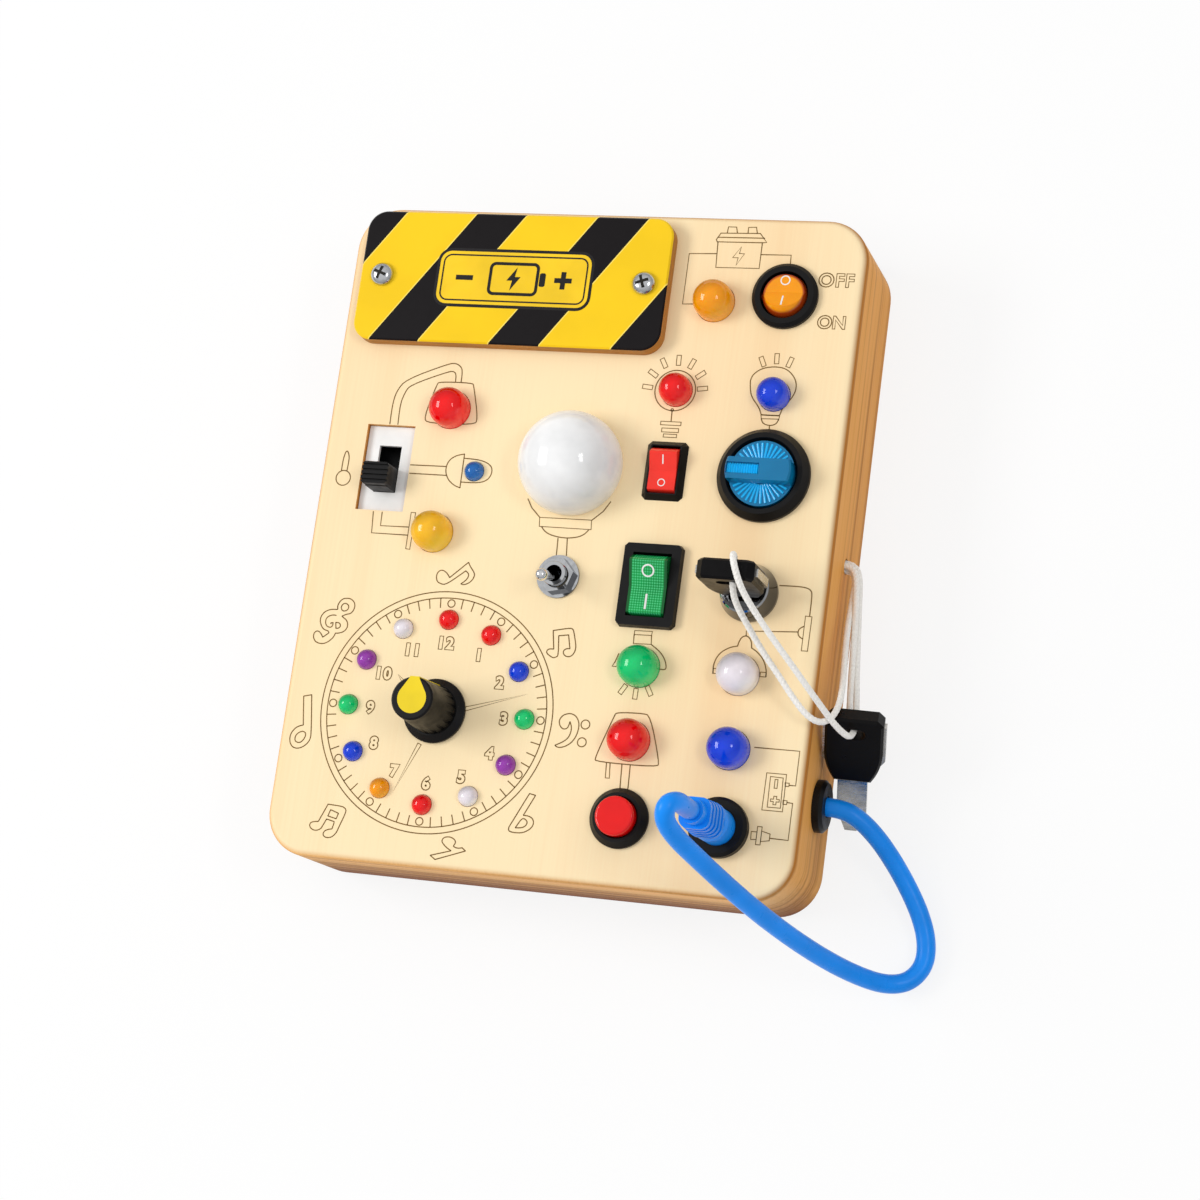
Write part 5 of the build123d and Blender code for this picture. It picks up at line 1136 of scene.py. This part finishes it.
class BUSYBOARD_OT_stage(bpy.types.Operator):
    """Set the camera, the pale floor and the soft studio light"""

    bl_idname = "busyboard.stage"
    bl_label = "Stage"

    def execute(self, context):
        settings = context.scene.busyboard_stage
        scene = context.scene
        camera_data = bpy.data.cameras.new("camera")
        camera_data.sensor_width = 36.0
        camera_data.lens = CAMERA_LENS
        camera_data.clip_start, camera_data.clip_end = 0.01, 100.0
        scene.camera = put("camera", camera_data)
        scene.camera.matrix_world = standing(CAMERA_PLACE, CAMERA_RIGHT, CAMERA_UP, CAMERA_BACK)

        r = FLOOR_REACH
        floor_mesh = plain_mesh("floor", [(-r, -r, 0), (r, -r, 0), (r, r, 0), (-r, r, 0)], [], [(0, 1, 2, 3)])
        floor_mesh.materials.append(floor_paper(settings.floor, settings.shadow_lift))
        put("floor", floor_mesh)

        # Two upright soft boxes, placed by where a ball shows them, as shares of its radius right of and over
        # its middle. The lamps show them as panes. Flat faces mirror what a ball has at -0.29, 0.23, and so
        # they miss them.
        for name, spot, width, height, energy in (
            ("left_soft_box", (-0.52, 0.12), 0.5, 0.8, settings.left_power),
            ("right_soft_box", (0.2, 0.08), 0.2, 0.5, settings.right_power),
        ):
            over = (1 - spot[0] ** 2 - spot[1] ** 2) ** 0.5
            ball = spot[0] * CAMERA_RIGHT + spot[1] * CAMERA_UP + over * CAMERA_BACK
            away = 2 * over * ball - CAMERA_BACK
            data = bpy.data.lights.new(name, "AREA")
            data.shape = "RECTANGLE"
            data.size, data.size_y, data.energy = width, height, energy
            rise = (CAMERA_UP - away * CAMERA_UP.dot(away)).normalized()
            place = settings.lamp_distance * away + LIT_POINT
            put(name, data).matrix_world = standing(place, rise.cross(away), rise, away)

        scene.world = bpy.data.worlds.new("studio")
        scene.world.use_nodes = True
        tree = scene.world.node_tree
        background = tree.nodes["Background"]
        upward = part_of(tree, node(tree, "ShaderNodeTexCoord").outputs["Generated"], "Z")
        background.inputs["Color"].default_value = (1.0, 1.0, 1.0, 1.0)
        room = mapped(tree, upward, least=settings.sky_low, most=settings.sky_high)
        tree.links.new(room, background.inputs["Strength"])
        scene.view_settings.view_transform = "Standard"
        return {"FINISHED"}


class BUSYBOARD_OT_lead(bpy.types.Operator):
    """Lay the blue lead from its gland round to the plug"""

    bl_idname = "busyboard.lead"
    bl_label = "Lead and plug"

    def execute(self, context):
        settings = context.scene.busyboard_cords
        soft = plastic("soft_blue_pvc", settings.lead, 0.32, Specular_IOR_Level=0.25)
        paint(soft, "plug_boot", "plug_lead")
        radius = settings.lead_diameter / 2
        steps, sides = 12, 28
        points = line_points(LEAD_ROUTE, steps)
        round_tube = tube("lead_cable", points, lambda angle, gone: radius, sides)
        lead = piece("lead_cable", round_tube, None, "lead_blue", soft)
        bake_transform(lead)
        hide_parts("plug_lead")
        return {"FINISHED"}


class BUSYBOARD_OT_string(bpy.types.Operator):
    """Lay the white string from its hole through the key in the lock, and down to the spare key"""

    bl_idname = "busyboard.string"
    bl_label = "Key string"

    def execute(self, context):
        settings = context.scene.busyboard_cords
        cotton = braided_cotton("white_braided_cotton", settings.string)
        paint(cotton, "key_string")
        radius, pitch = settings.string_diameter / 2, settings.braid_pitch
        steps, sides, strands = 26, 24, 4
        core, swell = 0.87, 0.13

        def braided(angle, gone):
            """Strands that cross each other four by four."""
            turn = 2 * pi * gone / pitch
            waves = cos(strands * (angle - turn)), cos(strands * (angle + turn))
            return radius * (core + swell * max(waves))

        pieces = {}
        for name, route in (
            ("string_to_key", STRING_OUT_ROUTE),
            ("string_through_key", STRING_KEY_ROUTE),
            ("string_from_key", STRING_BACK_ROUTE),
            ("string_to_spare_key", STRING_TIE_ROUTE),
        ):
            points = line_points(route, steps)
            made = piece(name, tube(name, points, braided, sides), None, "string_white", cotton)
            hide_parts("key_string")
            pieces[name] = made
        # Bake the stretches' places into their meshes; the stretch to the spare key rides on the board
        for name in ("string_to_key", "string_from_key"):
            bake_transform(pieces[name])
        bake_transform(pieces["string_through_key"])
        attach(pieces["string_to_spare_key"], "board")
        return {"FINISHED"}


class BUSYBOARD_OT_wood(bpy.types.Operator):
    """Finish the wooden block and its back panel"""

    bl_idname = "busyboard.wood"
    bl_label = "Wood"

    def execute(self, context):
        s = context.scene.busyboard_wood
        pine = wood("lacquered_pine", s.face, s.band, s.edge, s.edge_line, s.end, s.end_low, s.layer)
        paint(pine, "board_body")
        # The sixth colour is the painted shade towards the back of the panel's ends
        layers = [srgb(code) for code in ("E2C08E", "CFA66E", "C99A60", "8E6236", "A9764A", "8E6236")]
        layer_thickness = 0.0006
        ply = wood("sanded_birch_plywood", *layers, layer_thickness)
        paint(ply, "back_panel")
        return {"FINISHED"}


class BUSYBOARD_OT_engraving(bpy.types.Operator):
    """Burn the drawings, the words and the clock dial into the face"""

    bl_idname = "busyboard.engraving"
    bl_label = "Engraving"

    def execute(self, context):
        settings = context.scene.busyboard_wood
        burnt = scorched("laser_burnt_pine", settings.burn)
        outlines = [(loop, True) for loop in CLOSED_STRAIGHT]
        outlines += [(line, False) for line in OPEN_STRAIGHT]
        outlines += [(cut_corners(loop, True), True) for loop in CLOSED_CURVED]
        outlines += [(cut_corners(line, False), False) for line in OPEN_CURVED]
        outlines += [(ring_loop(middle, radius), True) for middle, radius in RINGS]
        for (lamp_x, lamp_y), boxes in RAYS:
            for x, y in boxes:
                angle = Vector((x - lamp_x, y - lamp_y)).angle_signed(Vector((1, 0)))
                outlines.append((box_loop((x, y), RAY_LENGTH, RAY_WIDTH, angle), True))
        for foot, tip in HANDS:
            run = Vector(tip) - Vector(foot)
            side = Vector((-run.y, run.x)).normalized() * HAND_HALF_WIDTH
            outlines.append(([tuple(Vector(foot) + side), tip, tuple(Vector(foot) - side)], True))
        texts = list(WORDS)
        for hour in range(1, 13):
            turn = radians(30 * hour)
            middle = (NUMBERS.x + NUMBER_RING * sin(turn), NUMBERS.y + NUMBER_RING * cos(turn))
            texts.append((str(hour), middle, *NUMBER_SETTING))
        for setting in texts:
            outlines += [(loop, True) for loop in text_loops(*setting)]
        points, edges = [], []
        for outline, closed in outlines:
            start, count = len(points), len(outline)
            points += [(x * MM, y * MM) for x, y in outline]
            edges += [(start + i, start + (i + 1) % count) for i in range(count if closed else count - 1)]
        level = FACE_Z + PRINT_LIFT
        drawing = plain_mesh("engraved_drawings", [(x, y, level) for x, y in points], edges, [])
        shared = {"Line Width": settings.line_width, "Material": burnt}
        strokes = grown("engraved_drawings", stroke_tree(), shared, drawing)
        sizes = {
            "Centre": (CLOCK.x, CLOCK.y, level), "Outer Radius": 0.0303, "Inner Radius": 0.0287,
            "Tick Length": 0.0025, "Hour Ring Place": 0.02735, "Hour Ring Radius": 0.00095, **shared,
        }
        dial = grown("engraved_dial", dial_tree(), sizes)
        piece("engraved_drawings", strokes, "board", "pine")
        piece("engraved_dial", dial, "board", "pine")
        return {"FINISHED"}


class BUSYBOARD_OT_cover(bpy.types.Operator):
    """Print the battery cover and its plain sign"""

    bl_idname = "busyboard.cover"
    bl_label = "Battery cover"

    def execute(self, context):
        settings = context.scene.busyboard_print
        paint(hazard_sheet(settings), "cover_plate")
        ink = plastic("black_screen_ink", settings.black, 0.4, Specular_IOR_Level=0.3)
        ground = plastic("yellow_screen_ink", settings.yellow, 0.36, Specular_IOR_Level=0.3)
        # The sign sits a little right of the plate's middle, with minus and plus well out on its two sides
        right_shift, aside = 0.6, 13.2
        x, y = PLATE.x / MM + right_shift, PLATE.y / MM
        border = PLATE_TOP_Z + PRINT_LIFT
        field, lines = border + PRINT_LIFT, border + 2 * PRINT_LIFT
        bolt = [(0.9, 4.3), (-2.3, -0.6), (-0.4, -0.6), (-0.9, -4.3), (2.3, 0.8), (0.4, 0.8)]
        # Black border, yellow field and black line, then the cell: body, terminal, bolt, minus and plus
        shapes = [
            filled([round_loop((x, y), 42.0, 15.6, 3.6)], border, 0),
            filled([round_loop((x, y), 40.4, 14.0, 2.8)], field, 1),
            filled([round_loop((x, y), 38.8, 12.4, 2.2), round_loop((x, y), 38.0, 11.6, 1.8)], lines, 0),
            filled([round_loop((x, y), 13.4, 8.8, 1.6), round_loop((x, y), 11.8, 7.2, 0.9)], lines, 0),
            filled([round_loop((x + 7.7, y), 1.6, 3.6, 0.5)], lines, 0),
            filled([[(x + 0.8 * bx, y + 0.72 * by) for bx, by in bolt]], lines, 0),
            filled([box_loop((x - aside, y), 4.6, 1.3)], lines, 0),
            filled([cross_loop((x + aside, y), 2.3, 0.65)], lines, 0),
        ]
        piece("cover_sign", joined("cover_sign", shapes), "board", "hazard_plate", ink, ground)
        return {"FINISHED"}


class BUSYBOARD_OT_lamps(bpy.types.Operator):
    """Tint the lamps and the globe"""

    bl_idname = "busyboard.lamps"
    bl_label = "Lamps"

    def execute(self, context):
        s = context.scene.busyboard_plastic
        for name, shade, parts in (
            ("red_resin", s.red, ("red_desk_lamp", "red_bulb_lamp", "red_shade_lamp", "clock_lamps_red")),
            ("amber_resin", s.amber, ("amber_power_lamp", "clock_lamps_orange")),
            ("yellow_resin", s.yellow, ("yellow_wall_lamp",)),
            ("blue_resin", s.blue, ("blue_bulb_lamp", "blue_circuit_lamp", "clock_lamps_blue")),
            ("clear_blue_resin", s.torch_blue, ("blue_torch_lamp",)),
            ("green_resin", s.green, ("green_shade_lamp", "clock_lamps_green")),
            ("purple_resin", s.purple, ("clock_lamps_purple",)),
            ("milky_resin", s.white, ("white_bell_lamp", "clock_lamps_white")),
        ):
            paint(resin(name, shade), *parts)
        paint(plastic("opal_white_plastic", s.globe, 0.1, Specular_IOR_Level=0.5), "globe_lens")
        return {"FINISHED"}


class BUSYBOARD_OT_mouldings(bpy.types.Operator):
    """Finish the black mouldings, the buttons and the clock knob"""

    bl_idname = "busyboard.mouldings"
    bl_label = "Mouldings"

    def execute(self, context):
        s = context.scene.busyboard_plastic
        satin = plastic("black_satin_nylon", s.black, 0.42, grain=0.1, Specular_IOR_Level=0.2)
        paint(
            satin, "battery_box", "small_rocker_housing", "large_rocker_housing", "round_rocker_housing",
            "turn_switch_housing", "slide_switch_case", "slide_switch_slider", "clock_knob_body",
            "clock_rotary_switch", "push_button_housing", "plug_socket", "lead_gland",
        )
        grip = plastic("black_key_grip", s.black, 0.34, grain=0.03, Specular_IOR_Level=0.12)
        paint(grip, "switch_key_bow", "spare_key_bow")
        glossy = {"Specular_IOR_Level": 0.4, "Subsurface_Weight": 0.15, "Subsurface_Scale": 0.0015}
        amber = plastic("amber_button_resin", s.amber, 0.1, **glossy)
        # Painted shade: a dark ring at the rim of the amber button
        clear_reach = 0.0045
        deep_rim(amber, centre_of("round_rocker_button"), clear_reach, srgb("A03808"))
        paint(amber, "round_rocker_button")
        paint(plastic("red_button_gloss", s.push, 0.12, Specular_IOR_Level=0.4), "push_button_cap")
        paint(plastic("red_rocker_gloss", s.red_rocker, 0.15, **glossy), "small_rocker_button")
        lens_pitch = 0.00062
        paint(dotted_resin("green_lens_grid", s.rocker, s.rocker_bright, lens_pitch), "large_rocker_button")
        paint(plastic("tinted_blue_knob", s.knob, 0.12, **glossy), "turn_switch_knob")
        paint(plastic("yellow_knob_cap", s.cap, 0.4, grain=0.05, Specular_IOR_Level=0.3), "clock_knob_cap")
        return {"FINISHED"}


class BUSYBOARD_OT_metals(bpy.types.Operator):
    """Finish the plated, turned and painted metal, the boards and the cells"""

    bl_idname = "busyboard.metals"
    bl_label = "Metals and inner parts"

    def execute(self, context):
        chrome = metal("polished_chrome", srgb("CCCED1"), 0.04, 0.06)
        # Painted reflection: the chrome's sides are painted darker than its tops
        dull_flanks(chrome, srgb("5C5E63"))
        paint(chrome, "toggle_nut_and_washer", "lock_body", "lock_core")
        # Painted reflection: the lever's stem is painted dark, for the dark mouth of its bushing that it
        # mirrors; its round tip mirrors the room
        lever = metal("polished_lever", srgb("E4E5E7"), 0.04, 0.06)
        tree, shader = opened(lever)
        tip_length = 0.0034
        tip = above(tree, part_of(tree, object_place(tree), "Z"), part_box("toggle_lever")[1].z - tip_length)
        overlay(tree, shader, calculated(tree, "SUBTRACT", 1.0, tip), srgb("4A4B4E"))
        paint(lever, "toggle_lever")
        # The toggle's blue case carries a chromed bushing, which is all that stands over the face
        case = plastic("blue_case_chromed_bushing", srgb("2A4A7A"), 0.4, grain=0.05)
        tree, shader = opened(case)
        bushing = above(tree, part_of(tree, object_place(tree), "Z"), FACE_Z - 0.002)
        overlay(tree, shader, bushing, srgb("C8CACD"))
        feed(tree, shader, Metallic=bushing, Roughness=mapped(tree, bushing, least=0.4, most=0.08))
        # Painted reflection: the bushing's sides are painted darker than its top
        dull_flanks(case, srgb("3A3C42"))
        paint(case, "toggle_switch_body")
        zinc = metal("bright_zinc_plate", srgb("D4D6D9"), 0.12, 0.14)
        paint(zinc, "back_panel_screws", "cover_plate_screws", "mounting_nuts", "battery_contacts")
        nickel = metal("nickel_key_blank", srgb("C9C7C3"), 0.18, 0.18)
        paint(nickel, "switch_key_blade", "spare_key_blade", "plug_pin")
        paint(metal("turned_aluminium", srgb("B8BBBF"), 0.3, 0.2), "clock_rotary_shaft")
        enamel = plastic("white_stove_enamel", srgb("FCFCFA"), 0.35, Specular_IOR_Level=0.3)
        paint(enamel, "slide_switch_plate")
        paint(plastic("green_cell_wrap", srgb("3C6B3F"), 0.35), "battery_cells")
        solder_mask = plastic("green_solder_mask", srgb("1F6B3A"), 0.3, grain=0.1)
        paint(solder_mask, "clock_circuit_board", "globe_lamp_board")
        return {"FINISHED"}


class BUSYBOARD_OT_legends(bpy.types.Operator):
    """Print the on and off marks on the three rocker buttons"""

    bl_idname = "busyboard.legends"
    bl_label = "Rocker marks"

    def execute(self, context):
        white = plastic("white_pad_print", srgb("F3F3F0"), 0.4)
        # Button, its slot, its tilt at rest and that of its halves in degrees, its crown over the pivot, the
        # size of its marks, and where along it each mark lies; lengths in millimetres
        for button, slot, rest, tilt, crown, scale, marks in (
            ("round", "button_amber", -12.0, 12.0, 2.6, 1.1, {"O": 3.0, "I": -2.6}),
            ("small", "button_red", 11.0, 11.0, 2.4, 0.85, {"I": 2.8, "O": -2.9}),
            ("large", "button_green", 11.0, 11.0, 2.9, 1.4, {"O": 3.8, "I": -3.7}),
        ):
            name, body = f"{button}_rocker_button_marks", f"{button}_button"
            pivot = Vector(next(j for j in frame["joints"] if j["child"] == body)["pos_m"])
            circle = [ring_loop((0, 0), 1.15 * scale), ring_loop((0, 0), 0.87 * scale)]
            line = [box_loop((0, 0), 0.36 * scale, 2.7 * scale)]
            shapes = []
            for mark, along in marks.items():
                lean = radians(tilt) * (1 if along > 0 else -1)
                height = (crown + abs(along) * tan(radians(tilt))) * MM + PRINT_LIFT
                local = Matrix.Translation((0, along * MM, height)) @ Matrix.Rotation(lean, 4, "X")
                shapes.append(moved(filled(circle if mark == "O" else line, 0.0), local))
            place = Matrix.Translation(pivot) @ Matrix.Rotation(radians(rest), 4, "X")
            piece(name, joined(name, shapes, place), body, slot, white)
        return {"FINISHED"}


class BUSYBOARD_OT_knob_ribs(bpy.types.Operator):
    """Add the fans of ribs and the bright pointer to the blue turn knob"""

    bl_idname = "busyboard.knob_ribs"
    bl_label = "Turn knob ribs"

    def execute(self, context):
        s = context.scene.busyboard_plastic
        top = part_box("turn_switch_knob")[1].z
        bright = plastic("bright_blue_ribs", s.knob_bright, 0.12, Specular_IOR_Level=0.4)
        fan = fan_tree()
        # How many ribs a fan has, its opening in degrees, the knob's reach, and how far fans and pointer lie
        # below the knob's top
        ribs, opening, reach, fan_drop, pointer_drop = 14, 124, 0.0076, 0.0044, 0.0008
        sizes = {
            "Centre": (TURN_KNOB.x, TURN_KNOB.y, top - fan_drop), "Count": ribs,
            "Angle Step": radians(opening / (ribs - 1)), "Inner Radius": 0.0029, "Outer Radius": reach,
            "Rib Radius": 0.00032, "Material": bright,
        }
        for name, first in (("turn_knob_fan_top", 28), ("turn_knob_fan_bottom", 208)):
            mesh = grown(name, fan, {"First Angle": radians(first), **sizes})
            piece(name, mesh, "turn_knob", "knob_blue")
        # One tooth of the serrated pointer: a low ridge across it, wider at its crest
        pitch, crest, root = 0.62, 0.32, -0.25
        ends = ((-pitch / 2, 1.0, 0.0), (0.0, 1.3, crest), (pitch / 2, 1.0, 0.0))
        points = [(x * MM, side * y * MM, z * MM) for x, y, z in ends for side in (-1, 1)]
        points += [(x * MM, side * y * MM, root * MM) for x, y, z in ends for side in (-1, 1)]
        faces = [(0, 2, 3, 1), (2, 4, 5, 3), (6, 7, 9, 8), (8, 9, 11, 10)]
        faces += [(0, 1, 7, 6), (4, 10, 11, 5), (0, 6, 8, 2), (2, 8, 10, 4), (1, 3, 9, 7), (3, 5, 11, 9)]
        rib = plain_mesh("pointer_rib", points, [], faces)
        start = (TURN_KNOB.x - reach, TURN_KNOB.y, top - pointer_drop)
        sizes = {"Start": start, "Step": (pitch * MM, 0.0, 0.0), "Count": 13, "Material": bright}
        row = grown("turn_knob_pointer", row_tree(), sizes, rib)
        piece("turn_knob_pointer", row, "turn_knob", "knob_blue")
        return {"FINISHED"}


class BUSYBOARD_OT_metal_details(bpy.types.Operator):
    """Cut the toggle's thread, put the red index dot on the lock and lay painted shade in the cover screws'
    recesses
    """

    bl_idname = "busyboard.metal_details"
    bl_label = "Thread, lock dot and screw recesses"

    def execute(self, context):
        chrome = bpy.data.materials["polished_chrome"]
        # One turn of the thread, with its crest between two roots, in millimetres
        steps, root, crest, half_pitch = 48, 2.9, 3.08, 0.2
        points, faces = [], []
        for i in range(steps):
            angle = 2 * pi * i / steps
            for out, up in ((root, -half_pitch), (crest, 0.0), (root, half_pitch)):
                points.append((out * MM * cos(angle), out * MM * sin(angle), up * MM))
            now, after = 3 * i, 3 * ((i + 1) % steps)
            faces += [(now, after, after + 1, now + 1), (now + 1, after + 1, after + 2, now + 2)]
        ring = plain_mesh("thread_ring", points, [], faces)
        lowest_turn, pitch = 0.0349, 0.0004
        start = (TOGGLE.x, TOGGLE.y, lowest_turn)
        sizes = {"Start": start, "Step": (0.0, 0.0, pitch), "Count": 3, "Material": chrome}
        row = bpy.data.node_groups.get("repeat_in_row") or row_tree()
        thread = grown("toggle_thread", row, sizes, ring)
        piece("toggle_thread", thread, "board", "chrome")
        dot = plastic("red_index_paint", srgb("C2161C"), 0.35)
        dot_middle, dot_radius, dot_steps = (LOCK.x / MM + 5.2, LOCK.y / MM + 0.9), 0.42, 20
        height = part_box("lock_body")[1].z + PRINT_LIFT
        shape = filled([ring_loop(dot_middle, dot_radius, dot_steps)], height)
        piece("lock_index_dot", joined("lock_index_dot", [shape]), "board", "chrome", dot)
        # Painted shade: a dark cross laid on each cover screw's head, where its recess is
        shade = metal("shaded_screw_recess", srgb("34322F"), 0.4, 0.2)
        low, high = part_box("cover_plate_screws")
        cross, head_radius = cross_loop((0.0, 0.0), 1.55, 0.36), 0.003
        shapes = []
        for x, turn in ((low.x + head_radius, -20), (high.x - head_radius, 20)):
            over_screw = Matrix.Translation((x, PLATE.y, high.z + PRINT_LIFT))
            shapes.append(moved(filled([cross], 0.0), over_screw @ Matrix.Rotation(radians(turn), 4, "Z")))
        piece("painted_screw_recess_shade", joined("painted_screw_recess_shade", shapes), "board", "zinc_steel", shade)
        return {"FINISHED"}


class BUSYBOARD_PT_sidebar(bpy.types.Panel):
    """Busy board pieces and their sizes and colours"""

    bl_idname = "BUSYBOARD_PT_sidebar"
    bl_label = "Busy Board"
    bl_space_type = "VIEW_3D"
    bl_region_type = "UI"
    bl_category = "Busy Board"

    def draw(self, context):
        for operator in OPERATORS:
            self.layout.operator(operator.bl_idname)
        for attribute, group in SETTINGS.items():
            box = self.layout.box()
            for key in group.__annotations__:
                box.prop(getattr(context.scene, attribute), key)


SETTINGS = {
    "busyboard_wood": BusyBoardWoodSettings,
    "busyboard_print": BusyBoardPrintSettings,
    "busyboard_plastic": BusyBoardPlasticSettings,
    "busyboard_cords": BusyBoardCordSettings,
    "busyboard_stage": BusyBoardStageSettings,
}
OPERATORS = (
    BUSYBOARD_OT_stage,
    BUSYBOARD_OT_lead,
    BUSYBOARD_OT_string,
    BUSYBOARD_OT_wood,
    BUSYBOARD_OT_engraving,
    BUSYBOARD_OT_cover,
    BUSYBOARD_OT_lamps,
    BUSYBOARD_OT_mouldings,
    BUSYBOARD_OT_metals,
    BUSYBOARD_OT_legends,
    BUSYBOARD_OT_knob_ribs,
    BUSYBOARD_OT_metal_details,
)


def register():
    for attribute, group in SETTINGS.items():
        bpy.utils.register_class(group)
        setattr(bpy.types.Scene, attribute, bpy.props.PointerProperty(type=group))
    for operator in OPERATORS:
        bpy.utils.register_class(operator)
    bpy.utils.register_class(BUSYBOARD_PT_sidebar)


def unregister():
    bpy.utils.unregister_class(BUSYBOARD_PT_sidebar)
    for operator in reversed(OPERATORS):
        bpy.utils.unregister_class(operator)
    for attribute, group in SETTINGS.items():
        delattr(bpy.types.Scene, attribute)
        bpy.utils.unregister_class(group)


def main():
    """Make every piece."""
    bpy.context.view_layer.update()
    register()
    bpy.ops.busyboard.stage()
    bpy.ops.busyboard.lead()
    bpy.ops.busyboard.string()
    bpy.ops.busyboard.wood()
    bpy.ops.busyboard.engraving()
    bpy.ops.busyboard.cover()
    bpy.ops.busyboard.lamps()
    bpy.ops.busyboard.mouldings()
    bpy.ops.busyboard.metals()
    bpy.ops.busyboard.legends()
    bpy.ops.busyboard.knob_ribs()
    bpy.ops.busyboard.metal_details()


if __name__ == "__main__":
    main()
